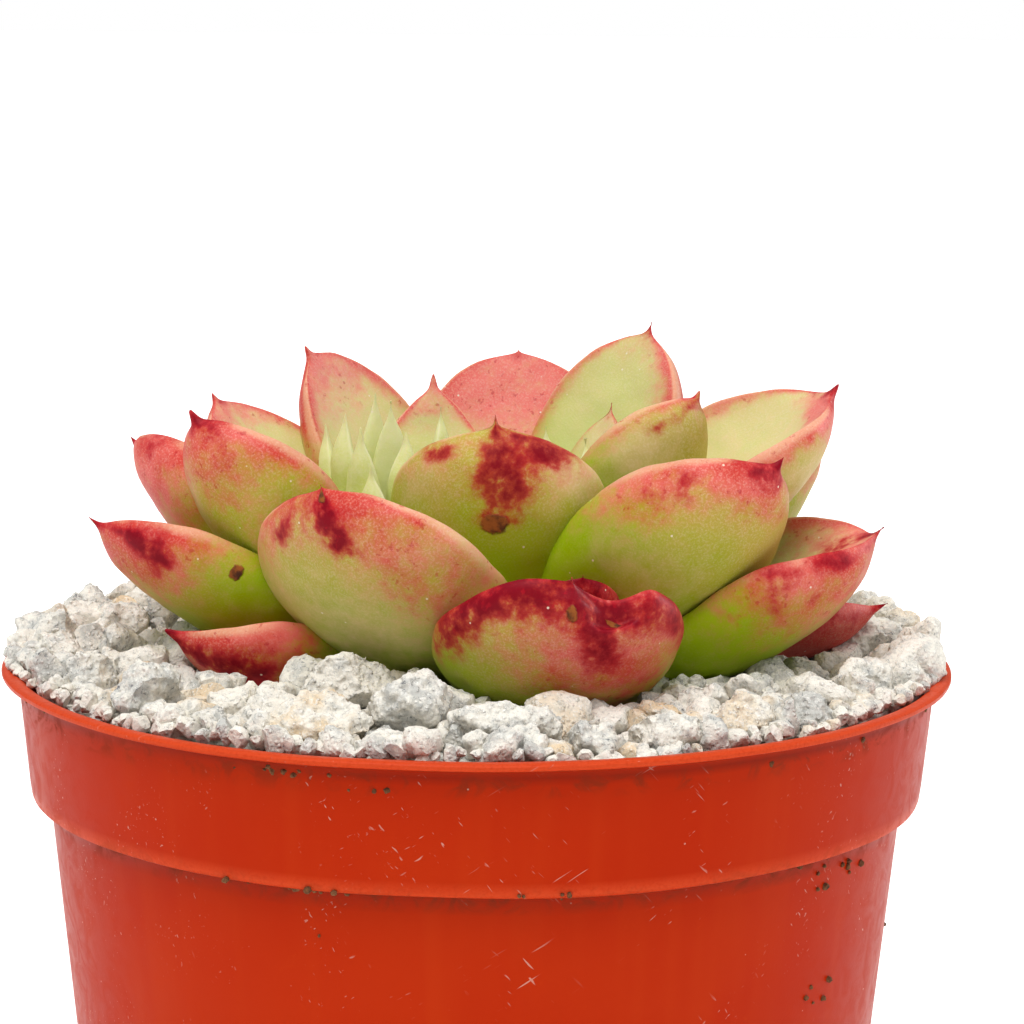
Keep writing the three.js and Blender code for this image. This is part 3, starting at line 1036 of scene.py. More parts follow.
class Plant:
    """The rosette: every leaf, and the bud leaflets at the two growing points."""

    LEAVES = (
        Leaf("front_left", (-3, -3, 1), (-13, -20, 18.5), 24, 6, 40, 45, bow=0.05, form=Form.BLUNT,
             dress=Dress(0.76, 0.85, 0.5, 0.25, 0.4, {
                 Mark.CRIMSON: ((0.93, 0.10, 0.05, 0.14, 1.2), (0.85, 0.20, 0.05, 0.14, 1.1),
                                (0.86, -0.60, 0.04, 0.14, 0.8), (0.91, -0.1, 0.08, 0.8, 0.4)),
                 Mark.BLUSH: ((0.82, 0.45, 0.14, 0.45, 0.3), (0.66, 0.65, 0.16, 0.30, 0.5),
                              (0.80, -0.7, 0.16, 0.25, 0.35), (0.96, 0.5, 0.05, 0.8, 0.5)),
                 Mark.PALE: ((0.55, 0.1, 0.15, 0.8, 0.3),),
                 Mark.DRY: ((0.975, 0.05, 0.025, 0.16, 1.0),)})),
        Leaf("front_centre", (2.5, -2, 3), (1.5, -12, 23.5), 19.5, 5.5, 45, form=Form.OBOVATE,
             dress=Dress(0.88, 0.6, 0.25, 0.0, 0.7, {
                 Mark.CRIMSON: ((0.88, 0.06, 0.10, 0.34, 1.0), (0.86, -0.80, 0.035, 0.25, 0.9),
                                (0.88, 0.78, 0.07, 0.30, 1.2), (0.77, 0.14, 0.07, 0.32, 0.8),
                                (0.67, 0.05, 0.05, 0.22, 0.8)),
                 Mark.SCAR: ((0.65, 0.02, 0.045, 0.13, 1.0),),
                 Mark.BLUSH: ((0.84, -0.6, 0.10, 0.5, 0.35), (0.85, 0.5, 0.12, 0.5, 0.5)),
                 Mark.PALE: ((0.80, 0.75, 0.12, 0.3, 0.7), (0.76, -0.7, 0.15, 0.3, 0.4))})),
        Leaf("front_right", (7.5, -3, 2.5), (26, -15, 20.5), 20, 6, 100, roll=-25, bow=-0.03,
             dress=Dress(0.80, 1.1, 0.6, 0.08, 0.9, {
                 Mark.BLUSH: ((0.70, -0.80, 0.14, 0.26, 0.6), (0.93, -0.5, 0.12, 0.7, 0.8)),
                 Mark.CRIMSON: ((0.70, -0.80, 0.035, 0.10, 0.7), (0.80, -0.85, 0.04, 0.12, 0.7),
                                (0.76, -0.68, 0.03, 0.08, 0.5), (0.94, -0.5, 0.06, 0.7, 0.6)),
                 Mark.PALE: ((0.55, -0.5, 0.12, 0.5, 0.3),)})),
        Leaf("front_notched", (5.5, -7, 1.5), (8, -28, 12.5), 21.5, 5.5, curl=75, form=Form.BLUNT,
             notched=True,
             dress=Dress(0.78, 0.95, 0.7, 0.15, 0.5, {
                 Mark.CRIMSON: ((0.94, -0.45, 0.09, 0.60, 1.2), (0.90, 0.72, 0.12, 0.26, 1.1),
                                (0.76, -0.95, 0.20, 0.24, 1.1), (0.74, 0.97, 0.15, 0.16, 0.8),
                                (0.90, 0.30, 0.08, 0.30, 0.9), (0.77, 0.24, 0.10, 0.16, 1.1)),
                 Mark.BLUSH: ((0.66, 0.45, 0.25, 0.6, 0.75), (0.78, -0.1, 0.12, 0.7, 0.5)),
                 Mark.SCAR: ((0.89, -0.02, 0.03, 0.07, 1.1), (0.90, 0.55, 0.03, 0.06, 1.1))})),
        Leaf("front_small", (7, -6, 3), (9, -20, 11), 8, 4, 30, 40, form=Form.BLUNT,
             dress=Dress(0.2, 1.0, 0.8, 0.1, 1.0, {Mark.CRIMSON: ((0.8, 0.0, 0.5, 1.2, 1.2),)})),
        Leaf("right_low", (12, -5, 0), (35.5, -8, 13.5), 20, 5.5, 115, 16, 5,
             dress=Dress(0.55, 0.75, 0.7, 0.1, 0.9, {
                 Mark.CRIMSON: ((0.66, -0.94, 0.07, 0.10, 0.8), (0.60, -0.78, 0.03, 0.08, 0.5),
                                (0.84, -0.95, 0.07, 0.14, 1.0), (0.72, -0.70, 0.04, 0.08, 0.5),
                                (0.85, 0.15, 0.12, 0.4, 0.7)),
                 Mark.BLUSH: ((0.6, -0.7, 0.2, 0.4, 0.35),),
                 Mark.DRY: ((0.985, 0.0, 0.015, 0.8, 1.1),)})),
        Leaf("right_bottom", (15, 3, 2), (37.5, 4, 4.5), 13, 5, 60, 12, -20, form=Form.SPEAR,
             dress=Dress(0.25, 1.1, 0.9, 0.0, 0.9, {Mark.CRIMSON: ((0.75, -0.9, 0.3, 0.4, 0.6),)})),
        Leaf("right_high", (10, -1, 5), (32, 0, 25), 21, 5, 120, 15, 12,
             dress=Dress(0.84, 0.9, 1.0, 0.45, 0.9, {
                 Mark.BLUSH: ((0.92, -0.4, 0.08, 0.4, 1.1), (0.95, 0.0, 0.08, 0.8, 0.5))})),
        Leaf("right_rear", (13, 4, 3), (32, 9, 22), 17, 5, 70, 25, -20, form=Form.SPEAR,
             dress=Dress(0.6, 0.95, 1.0, 0.25)),
        Leaf("right_inner", (6.5, 0, 8), (19.5, -2, 24.5), 13, 4.5, curl=25, roll=-40,
             dress=Dress(0.82, 0.8, 0.7, 0.2, 0.9, {
                 Mark.PALE: ((0.66, -0.6, 0.15, 0.5, 0.4),),
                 Mark.CRIMSON: ((0.79, -0.70, 0.05, 0.16, 0.7), (0.88, -0.55, 0.05, 0.2, 0.6))})),
        Leaf("middle_inner", (8.5, 3, 11), (12, 6, 22.5), 7, 3, curl=15, form=Form.SPEAR,
             dress=Dress(0.72, 0.7, 0.6, 0.5, 0.3)),
        Leaf("back_right_tall", (7.5, 6, 5), (16, 16, 29), 16.5, 5, curl=25, bow=0.05,
             dress=Dress(0.80, 0.8, 0.9, 0.2, 0.7, {Mark.BLUSH: ((0.85, -0.8, 0.2, 0.35, 0.5),)})),
        Leaf("back_centre", (1.5, 6, 3), (3.5, 25, 25.5), 19.5, 5, curl=40, form=Form.BLUNT,
             dress=Dress(0.50, 0.95, 0.9, 0.3, 0.4)),
        Leaf("middle_back", (-4, 5, 7), (-4.5, 14, 24), 11, 4, 60, 25, form=Form.SPEAR,
             dress=Dress(0.66, 0.85, 0.9, 0.3, 0.6, {Mark.CRIMSON: ((0.5, 0.4, 0.12, 0.3, 0.4),)})),
        Leaf("back_left_tall", (-6, 6, 5), (-16.5, 14, 26.5), 16, 4.5, curl=25, bow=-0.13,
             dress=Dress(0.64, 1.0, 0.8, 0.4, 0.5)),
        Leaf("left_upper", (-9, 2, 6), (-24.5, 6, 23), 16, 4.5, curl=20, roll=-12,
             dress=Dress(0.68, 0.95, 0.85, 0.4)),
        Leaf("left_middle", (-9, -1, 3), (-25, -8, 23), 14.5, 5.5, curl=10, roll=30,
             dress=Dress(0.66, 1.0, 0.8, 0.15, 0.9, {
                 Mark.BLUSH: ((0.62, 0.3, 0.2, 0.5, 0.3),),
                 Mark.CRIMSON: ((0.93, 0.7, 0.06, 0.4, 0.55), (0.84, 0.45, 0.05, 0.3, 0.3))})),
        Leaf("left_rear", (-11, 1, 2.5), (-32, 6, 19), 15.5, 5, 80, 12, 28, 0.1,
             dress=Dress(0.48, 1.0, 0.8, 0.15, 0.9, {
                 Mark.CRIMSON: ((0.82, 0.9, 0.08, 0.3, 0.6),),
                 Mark.DRY: ((0.985, 0.0, 0.015, 0.8, 1.0),)})),
        Leaf("left_low", (-10, -2, 1), (-34.5, -4, 13), 16, 5, curl=8, roll=25,
             dress=Dress(0.60, 0.9, 0.6, 0.12, 0.9, {
                 Mark.CRIMSON: ((0.80, 0.75, 0.06, 0.20, 1.1), (0.87, 0.85, 0.05, 0.14, 1.0),
                                (0.73, 0.62, 0.05, 0.22, 0.8)),
                 Mark.SCAR: ((0.51, 0.88, 0.02, 0.07, 1.2),),
                 Mark.BLUSH: ((0.70, 0.6, 0.14, 0.4, 0.5),),
                 Mark.DRY: ((0.985, 0.0, 0.015, 0.8, 1.1),)})),
        Leaf("left_bottom", (-9, -5, 0.5), (-27, -10, 4), 14.5, 5, curl=16, roll=20, form=Form.SPEAR,
             dress=Dress(0.20, 0.75, 0.5, 0.15, 0.9, {
                 Mark.CRIMSON: ((0.72, 0.55, 0.22, 0.30, 1.2), (0.92, 0.3, 0.08, 0.6, 0.8))})),
        Leaf("middle_left", (-2, 1, 6), (-1.5, 1, 18), 7, 3, curl=15, form=Form.SPEAR),
        Leaf("middle_right", (3.5, 3, 6), (4, 5, 19), 7, 3, curl=15, form=Form.SPEAR),
        Leaf("back_left_mid", (-8, 6, 3), (-22, 19, 17), 16, 5),
        Leaf("back_right_mid", (10, 6, 3), (24, 17, 18), 16, 5),
        Leaf("back_left_low", (-8, 8, 0.5), (-24, 25, 9), 16, 5, curl=35),
        Leaf("back_low", (0, 9, 0.5), (-2, 33, 9), 18, 5.5, curl=35),
        Leaf("back_right_low", (9, 8, 0.5), (23, 27, 9), 16, 5, curl=35),
    )
    BUDS = (
        ("left_1", (-10.5, 1, 10), (-12, 0.5, 22)),
        ("left_2", (-9.5, -1, 9.5), (-10.5, -2.5, 21)),
        ("left_3", (-9, 3, 10), (-9.5, 4, 23.5)),
        ("left_4", (-8, 1.5, 10), (-8, 2, 23)),
        ("left_5", (-11, 3.5, 9), (-14, 4, 20.5)),
        ("left_6", (-7, -0.5, 9.5), (-6.5, -1.5, 20.5)),
        ("left_7", (-8.5, -3, 8), (-9.5, -4.5, 18)),
        ("left_8", (-5.5, 2, 10), (-3.5, 2, 22.5)),
        ("right_1", (7, 3, 10), (6, 4.5, 20.5)),
        ("right_2", (8.5, 1, 9.5), (9.5, 0.5, 20)),
        ("right_3", (10, 4.5, 9.5), (12.5, 5, 19.5)),
    )

    def __init__(self, rim: float) -> None:
        """Starts a plant whose seats and tips are measured from the pot's rim, in metres."""
        self.rim = rim
        self.leaves: list[bpy.types.Object] = []

    def build(self) -> None:
        """Builds every leaf and dresses the stem."""
        patterns = LeafPattern()
        skin = LeafSkin().make()
        young = LeafSkin("young_leaf", lime=(0.50, 0.58, 0.07), olive=(0.66, 0.68, 0.24),
                         cream=(0.88, 0.86, 0.60), inner=(0.74, 0.76, 0.36)).make()
        for leaf in self.LEAVES:
            self.add(leaf, leaf.build(patterns, self.rim, skin), "leaf_skin")
        fresh = Dress(0.80, 0.25, 0.0, 0.45, 0.1)
        for name, seat, tip in self.BUDS:
            bud = Leaf("bud_" + name, seat, tip, 3.6, 2.6, 20, 10, form=Form.BUD, dress=fresh)
            self.add(bud, bud.build(patterns, self.rim, young), "young_leaf")
        patterns.discard()
        bark = EarthyFinish("stem_bark", (0.10, 0.06, 0.025), (0.28, 0.20, 0.10), 1.6, 0.3).make()
        dress_node("stem_and_roots", bark)

    def add(self, leaf: Leaf, piece: bpy.types.Object, slot: str) -> None:
        """Hands a finished leaf over and keeps it for the topping to look round."""
        hand_over(piece, slot, leaf.node)
        self.leaves.append(piece)


def dress_node(node: str, finish: bpy.types.Material) -> None:
    """Gives a frame node that stays a better material.

    Args:
        node: The node's name.
        finish: Its material.
    """
    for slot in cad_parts[node].material_slots:
        slot.material = finish
    LOG.info("%s: kept from the frame, dressed in %s", node, finish.name)


def hand_over(piece: bpy.types.Object, slot: str, *nodes: str) -> None:
    """Rides a finished piece on the root, hides the frame nodes that it replaces and logs its name, faces and
    slot.

    Args:
        piece: The finished piece.
        slot: The name of its finish's slot, which is only logged.
        *nodes: The frame nodes that it replaces.
    """
    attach(piece, ROOT)
    if nodes:
        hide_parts(*nodes)
    LOG.info("%s: %d faces, %s", piece.name, len(piece.data.polygons), slot)


# --- pot --------------------------------------------------------------------------------


@dataclass
class Pot:
    """A thin moulded nursery pot: foot ring, tapered body, stepped collar, turned-out lip."""

    wall: float = 0.9
    collar_height: float = 11.4
    collar_top: float = 40.9
    collar_foot: float = 40.0
    body_top: float = 38.4
    foot_radius: float = 32.0
    foot_ring: float = 2.4
    foot_recess: float = 2.0
    floor: float = 3.3
    drain_radius: float = 3.2
    drain_circle: float = 20.0
    drains: int = 6
    drill_depth: float = 4.0
    sides: int = 160

    def __post_init__(self) -> None:
        """Takes the height and the lip's radius from the frame."""
        low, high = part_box("pot")
        self.rim = high[2]
        self.lip = (high[0] - low[0]) / 2 / MM

    def body_radius(self, share: float) -> float:
        """Returns the body's outer radius at a share of its height."""
        return self.foot_radius + (self.body_top - self.foot_radius) * share

    def collar_radius(self, share: float) -> float:
        """Returns the collar's outer radius at a share of its height."""
        return self.collar_foot + (self.collar_top - self.collar_foot) * share

    def rings(self) -> list[tuple[float, float]]:
        """Lists the outline's rings from the underside's middle to the floor inside.

        Returns:
            Radius and height pairs in millimetres.
        """
        top = self.rim / MM
        step = top - self.collar_height
        hub = 5.0
        straight = self.collar_height - 2.4
        foot, foot_in = self.foot_radius, self.foot_radius - self.foot_ring
        collar, inner, lip = self.collar_top, self.collar_top - self.wall, self.lip
        recess = self.foot_recess
        rings = [(hub, recess), (foot_in - 0.7, recess), (foot_in - 0.4, recess - 0.2), (foot_in, 0.2),
                 (foot_in + 0.2, 0.0), (foot - 0.4, 0.0), (foot, 0.4)]
        rings += [(self.body_radius(share), step * share)
                  for share in (0.1, 0.25, 0.4, 0.55, 0.7, 0.85, 0.97, 0.995)]
        rings += [(self.body_top + 0.15, step - 0.12), (self.collar_foot - 0.35, step - 0.05),
                  (self.collar_foot - 0.1, step + 0.08), (self.collar_foot, step + 0.35)]
        rings += [(self.collar_radius(share), step + straight * share)
                  for share in (0.15, 0.3, 0.45, 0.6, 0.75, 0.9)]
        rings += [(collar, top - 2.2), (collar + 0.05, top - 1.5), (collar + 0.25, top - 0.95),
                  (collar + 0.9, top - 0.72), (lip - 0.3, top - 0.64), (lip - 0.06, top - 0.55),
                  (lip, top - 0.42), (lip, top - 0.2), (lip - 0.12, top - 0.06), (lip - 0.4, top),
                  (lip - 1.0, top), (lip - 1.4, top - 0.2), (inner + 0.35, top - 0.9),
                  (inner + 0.05, top - 2.0)]
        rings += [(self.collar_radius(share) - self.wall, step + self.collar_height * share)
                  for share in (0.7, 0.4, 0.1)]
        rings += [(self.collar_foot - self.wall - 0.1, step + 0.6), (self.body_top - self.wall, step - 0.5)]
        rings += [(self.body_radius(share) - self.wall, step * share) for share in (0.8, 0.6, 0.4, 0.2)]
        rings += [(foot - self.wall + 0.2, self.floor + 0.5), (foot - self.wall - 0.3, self.floor),
                  (hub, self.floor)]
        return rings

    def build(self) -> None:
        """Draws the pot up ring by ring, bores its drain holes and dresses it."""
        rings = self.rings()
        Bench.clear()
        radius, height = rings[0]
        bpy.ops.mesh.primitive_circle_add(vertices=self.sides, radius=radius * MM, fill_type="NGON",
                                          location=(0, 0, height * MM))
        pot = Bench.made("nursery_pot")
        Bench.settle(pot)
        Bench.take(pot)
        bpy.ops.object.mode_set(mode="EDIT")
        bpy.ops.mesh.select_mode(type="FACE")
        bpy.ops.mesh.select_all(action="SELECT")
        for new_radius, new_height in rings[1:]:
            bpy.ops.mesh.extrude_region_move(
                TRANSFORM_OT_translate={"value": (0, 0, (new_height - height) * MM)})
            grow = new_radius / radius
            bpy.ops.transform.resize(value=(grow, grow, 1), center_override=(0, 0, new_height * MM))
            radius, height = new_radius, new_height
        bpy.ops.mesh.select_all(action="SELECT")
        bpy.ops.mesh.normals_make_consistent(inside=False)
        Bench.shut()
        self.bore(pot)
        upper = pot.vertex_groups.new(name="upper")
        for vertex in pot.data.vertices:
            upper.add([vertex.index], between((vertex.co.z / self.rim - 0.3) * 2), "REPLACE")
        Bench.roughen(pot, 26 * MM, 0.5 * MM, direction="Z", vertex_group="upper")
        self.soil_and_painted_light(pot)
        Bench.smooth(pot, 40)
        pot.data.materials.append(PotPlastic().make())
        hand_over(pot, "pot_plastic", "pot")

    def bore(self, pot: bpy.types.Object) -> None:
        """Cuts the drain holes through the floor.

        Args:
            pot: The closed pot.
        """
        drills = []
        for index in range(self.drains):
            turn = math.tau * index / self.drains
            middle = Vector((self.drain_circle * math.cos(turn), self.drain_circle * math.sin(turn),
                             (self.foot_recess + self.floor) / 2))
            bpy.ops.mesh.primitive_cylinder_add(vertices=32, radius=self.drain_radius * MM,
                                                depth=self.drill_depth * MM, location=middle * MM)
            drills.append(Bench.made("drill"))
        drill = Bench.join(drills, "drills")
        Bench.apply(pot, "BOOLEAN", object=drill, operation="DIFFERENCE", solver="EXACT")
        Bench.discard([drill])

    def surface(self, height: float) -> float:
        """Works out the outer face's radius.

        Args:
            height: The height over the foot, in millimetres.

        Returns:
            The radius in millimetres.
        """
        step = self.rim / MM - self.collar_height
        if height > step:
            return self.collar_radius((height - step) / self.collar_height)
        return self.body_radius(height / step)

    def soil_and_painted_light(self, pot: bpy.types.Object) -> None:
        """Stores where the pot is soiled and darkened by painted shade, and where it is rubbed and lit by a
        painted highlight: at its lip and its collar's edge.

        Args:
            pot: The finished shape.
        """
        at = Bench.places(pot) / MM
        out, height = np.hypot(at[:, 0], at[:, 1]), at[:, 2]
        top = self.rim / MM
        step = top - self.collar_height
        under_lip = hump(height, top - 1.9, 0.45)
        collar_edge = hump(height, step, 0.8)
        crease = hump(height, step - 0.25, 0.35) * (out < self.collar_foot - 0.2)
        # Dirt with painted shade, strongest under the lip's overhang and in the crease under the collar.
        dirt_and_painted_shade = under_lip * 0.9 + collar_edge * 0.3 + crease * 0.6
        Bench.paint(pot, "dirt_and_painted_shade", np.where(out > self.foot_radius, dirt_and_painted_shade, 0.3))
        # Painted shadow: a thin dark line under the lip's overhang and in the crease under the collar.
        painted_shadow = hump(height, top - 1.2, 0.35) + crease * 0.7
        Bench.paint(pot, "painted_shadow", np.where(out > self.foot_radius, painted_shadow, 0.0))
        # Painted highlight along the collar's lower edge; the lip's top gets wear with painted highlight.
        brow_highlight = hump(height, step + 0.25, 0.3) * (out > self.collar_foot - 0.3)
        Bench.paint(pot, "wear_and_highlight", (rise_from(height, top - 0.7, 0.15) + brow_highlight) * 0.7)


# --- topping ----------------------------------------------------------------------------


@dataclass(frozen=True)
class Stone:
    """A large loose stone: its middle as x, y and height over the rim, its widths, its turn."""

    name: str
    middle: Point
    widths: Point
    turn: float
    tone: float = 0.3
    warm: float = 0.0


class Canopy:
    """Tells where the leaves are, so that small stones keep clear of them."""

    SIGHT = 12.0

    def __init__(self, leaves: Sequence[bpy.types.Object]) -> None:
        """Reads the leaves' surfaces.

        Args:
            leaves: The finished leaves.
        """
        self.trees = []
        for leaf in leaves:
            sheet = bmesh.new()
            sheet.from_mesh(leaf.data)
            self.trees.append(BVHTree.FromBMesh(sheet))
            sheet.free()

    def gap(self, at: Vector) -> float:
        """Measures the distance to the nearest leaf.

        Args:
            at: A place.

        Returns:
            The distance in metres, negative inside a leaf, or 1 where none is near.
        """
        best = 1.0
        for tree in self.trees:
            near, normal, _, far = tree.find_nearest(at, self.SIGHT * MM)
            if near is not None and far < abs(best):
                best = far if (at - near).dot(normal) >= 0 else -far
        return best


class Topping:
    """The pumice over the potting mix: a mound, hundreds of grains, and the large stones.

    Lengths are in millimetres. The mound is highest by RISE in its middle, lies EDGE_BELOW_RIM
    under the rim at the front, and banks up by BANK at the sides and back from BANK_FROM on.
    Past SPILL_FROM it falls to the rim's level within SPILL_OVER. HOLLOWS holds dips under the
    leaves: place, reach and depth. The mound is drawn in from MOUND_RADIUS to MOUND_CROWN by
    MOUND_STEP at a time, on a plate PLATE thick, and its top lies TOP_SINK under the grains.

    Grains lie out to REACH, or OVER_LIP farther at the back and OVER_EDGE farther in a ring,
    and never past OUTERMOST. Those near the wall's INNER_EDGE lie on it, let in by LIP_GRIP.
    One that meets a leaf is sunk by DIG_STEP at a time, down to DIG, before it is left out.
    SOIL holds groups of crumbs on the pot's side: degrees to the right of the front,
    millimetres below the rim, the spread of both, and how many.
    """

    STONES = (
        Stone("front_a", (-11, -21, 1.5), (8.5, 6.5, 5.5), 20, 0.1),
        Stone("front_b", (-12.5, -33, 1), (8.5, 6, 5), -12, 0.0, 0.9),
        Stone("front_c", (-5, -30.5, 2), (6.5, 6.5, 6), 40, 0.7),
        Stone("front_d", (2.5, -33, 0.6), (9, 6, 5.5), 10, 0.5),
        Stone("front_e", (9.5, -34.5, 0), (4.5, 4.5, 4), 65, 0.6),
        Stone("front_f", (16, -31.5, -0.2), (7, 5, 4.5), -20, 0.2),
        Stone("front_g", (21.5, -28.5, 0.5), (5.5, 5.5, 4.5), 80, 0.1, 0.6),
        Stone("front_h", (19, -22.5, 0.5), (4, 4, 4), 15, 0.3),
        Stone("right_a", (27.5, -24.5, 0), (5, 5, 4), 120, 1.6),
        Stone("right_b", (33, -13, 0.5), (7, 5.5, 4.5), 60, 0.3),
        Stone("right_c", (35, 5.5, 0.5), (5.5, 5.5, 5), 35, 0.3),
        Stone("right_d", (37, -4.5, 0), (4.5, 5, 4.5), 150, 0.2, 0.4),
        Stone("left_a", (-27, -23.5, 1.5), (6.5, 5.5, 5.5), 75, 0.8),
        Stone("left_b", (-33, -14.5, 0.5), (5.5, 5, 4.5), 5, 0.5),
        Stone("left_c", (-37, -5.5, 1), (5, 5, 5), 100, 0.2),
        Stone("left_d", (-33, 6.5, 1), (8, 6, 5), 140, 0.3),
        Stone("rear_a", (13, 35, 0.5), (7, 5.5, 5), 30, 0.4),
        Stone("rear_b", (-17, 33, 0), (6, 5.5, 4.5), 110, 0.2),
    )
    SOIL = (
        (-21, 1.6, 2.5, 0.4, 9), (-11, 3, 3, 0.6, 3), (-22, 11.6, 8, 0.3, 12), (10, 11.2, 5, 0.6, 5),
        (54, 13.5, 6, 1.2, 9), (52, 24, 3, 1.0, 5), (0, 11.7, 180, 0.4, 26), (0, 1.7, 180, 0.3, 16),
        (0, 30, 180, 16, 12),
    )
    EDGE_BELOW_RIM = 0.7
    RISE = 0.8
    REACH = 40.0
    BANK = 0.8
    BANK_FROM = 29.0
    OVER_LIP = 3.0
    OVER_EDGE = 0.5
    SPILL_FROM = 38.2
    SPILL_OVER = 3.0
    HOLLOWS = (((31, -2), 8, 1.8), ((11, -31), 6, 2.8), ((-25, -17), 7, 1.4))
    OUTERMOST = 42.6
    INNER_EDGE = 40.6
    LIP_GRIP = 0.3
    DIG = 3.0
    DIG_STEP = 0.5
    MOUND_RADIUS = 39.3
    MOUND_STEP = 1.4
    MOUND_CROWN = 3.0
    PLATE = 1.2
    # Shares of a grain's width: its reach at most, its usual radius, and how far its middle
    # keeps from a leaf.
    HALF_WIDTH = 0.55
    ROUND_RADIUS = 0.45
    LEAF_GAP = 0.38
    # How near its middle a lump is struck, and what a large stone is widened by to make up.
    STRIKES = (0.26, 0.42)
    MAKE_UP = 1.12
    TOP_SINK = 0.3

    def __init__(self, pot: Pot, canopy: Canopy) -> None:
        """Starts the topping.

        Args:
            pot: The pot that it fills.
            canopy: The leaves to keep clear of.
        """
        self.pot = pot
        self.rim = pot.rim
        self.canopy = canopy
        self.dice = random.Random(7)
        self.rock = PumiceRock().make()
        self.placed = [(Vector(stone.middle[:2]) * MM, sum(stone.widths[:2]) * 0.33 * MM)
                       for stone in self.STONES]

    def build(self) -> None:
        """Builds the stones, the grains and the mound under them."""
        for stone in self.STONES:
            self.large_stone(stone)
        self.mound()
        coarse = [self.chipped("coarse_%d" % index, 9, 0.07, 3) for index in range(8)]
        grains = [self.chipped("grain_%d" % index, 7, 0.07, 2) for index in range(10)]
        crumbs = [self.chipped("crumb_%d" % index, 4, 0.05, 1) for index in range(4)]
        self.scatter("coarse_pumice", coarse, 200, (3.2, 6.2), 0.74, 0.36)
        self.scatter("rim_pumice", coarse, 80, (3.0, 5.0), 0.62, 0.32, 0.92)
        self.scatter("fine_pumice", grains, 700, (1.4, 3.6), 0.60, 0.32)
        self.scatter("edge_pumice", grains, 260, (1.0, 2.1), 0.58, 0.15, 0.955)
        self.scatter("pumice_crumbs", crumbs, 1500, (0.5, 1.4), 0.9, 0.5)
        self.soil(crumbs)
        Bench.discard([*coarse, *grains, *crumbs])

    def soil(self, patterns: Sequence[bpy.types.Object]) -> None:
        """Sticks small crumbs of potting mix to the pot's outer face.

        Args:
            patterns: The crumbs to copy.
        """
        bits = []
        for turn, below, spread, scatter, count in self.SOIL:
            for _ in range(count):
                angle = math.radians(turn + self.dice.uniform(-spread, spread))
                height = self.rim / MM - below + self.dice.uniform(-scatter, scatter)
                out = self.pot.surface(height) + 0.05
                at = Vector((out * math.sin(angle), -out * math.cos(angle), height)) * MM
                pattern = patterns[len(bits) % len(patterns)]
                bits.append(self.lay(pattern, at, self.dice.uniform(0.25, 0.75) * MM))
        finish = EarthyFinish("soil_crumb", (0.06, 0.022, 0.01), (0.26, 0.12, 0.05), 0.5, 0.1).make()
        self.heap(bits, "soil_crumbs", finish, "potting_mix")

    @staticmethod
    def heap(bits: Sequence[bpy.types.Object], name: str, finish: bpy.types.Material, slot: str) -> None:
        """Joins strewn copies into one piece and hands it over.

        Args:
            bits: The copies.
            name: The joined piece's name.
            finish: Its material.
            slot: The name of its finish's slot, which is only logged.
        """
        heap = Bench.join(bits, name)
        heap.data.materials.clear()
        heap.data.materials.append(finish)
        hand_over(heap, slot)

    def bed_top(self, spot: Vector) -> float:
        """Works out the height of the mound, which banks up near the wall except in front.

        Past the wall it falls to the rim, so that spilled grains lie on the lip.

        Args:
            spot: A place as x and y, in metres.

        Returns:
            The height in metres.
        """
        out = spot.length / MM
        share = min(out / self.REACH, 1.0)
        bank = between((out - self.BANK_FROM) / (self.REACH - self.BANK_FROM))
        rise = self.RISE * (1 - share * share) + self.BANK * bank * (0.15 + 0.85 * self.behind(spot))
        rise -= self.EDGE_BELOW_RIM
        for middle, reach, depth in self.HOLLOWS:
            rise -= depth * math.exp(-((spot / MM - Vector(middle)).length / reach) ** 2)
        if rise > 0:
            rise *= 1 - between((out - self.SPILL_FROM) / self.SPILL_OVER)
        return self.rim + rise * MM

    @staticmethod
    def behind(spot: Vector) -> float:
        """Tells how far a place is from the open front: 0 there, 1 at the sides and back."""
        return between(0.5 + (spot.y / MM + 10) / 24)

    def chipped(self, name: str, chips: int, grit: float, detail: int) -> bpy.types.Object:
        """Breaks a round lump into a stone one unit across.

        Args:
            name: The stone's name.
            chips: How many faces are struck off it.
            grit: How rough its surface is made, in units.
            detail: How finely the lump is divided first.

        Returns:
            The stone, about the origin.
        """
        Bench.clear()
        bpy.ops.mesh.primitive_ico_sphere_add(subdivisions=detail, radius=0.5)
        stone = Bench.made(name)
        Bench.open(stone)
        for _ in range(chips):
            strike = Vector([self.dice.uniform(-1, 1) for _ in range(3)]).normalized()
            bpy.ops.mesh.select_all(action="SELECT")
            bpy.ops.mesh.bisect(plane_co=strike * self.dice.uniform(*self.STRIKES), plane_no=strike,
                                use_fill=True, clear_outer=True)
        Bench.shut()
        if detail > 2:
            Bench.apply(stone, "REMESH", mode="VOXEL", voxel_size=0.09)
        if grit:
            for size, depth in ((0.35, grit * 3), (0.14, grit * 1.8)):
                Bench.roughen(stone, size, depth)
            Bench.smooth(stone, 50 if detail > 2 else 28)
        return stone

    @staticmethod
    def tint(stone: bpy.types.Object, tone: float, warm: float) -> None:
        """Stores how grey and how warm a whole stone is."""
        for name, value in (("tone", tone), ("warm", warm)):
            Bench.paint(stone, name, np.full(len(stone.data.vertices), value))

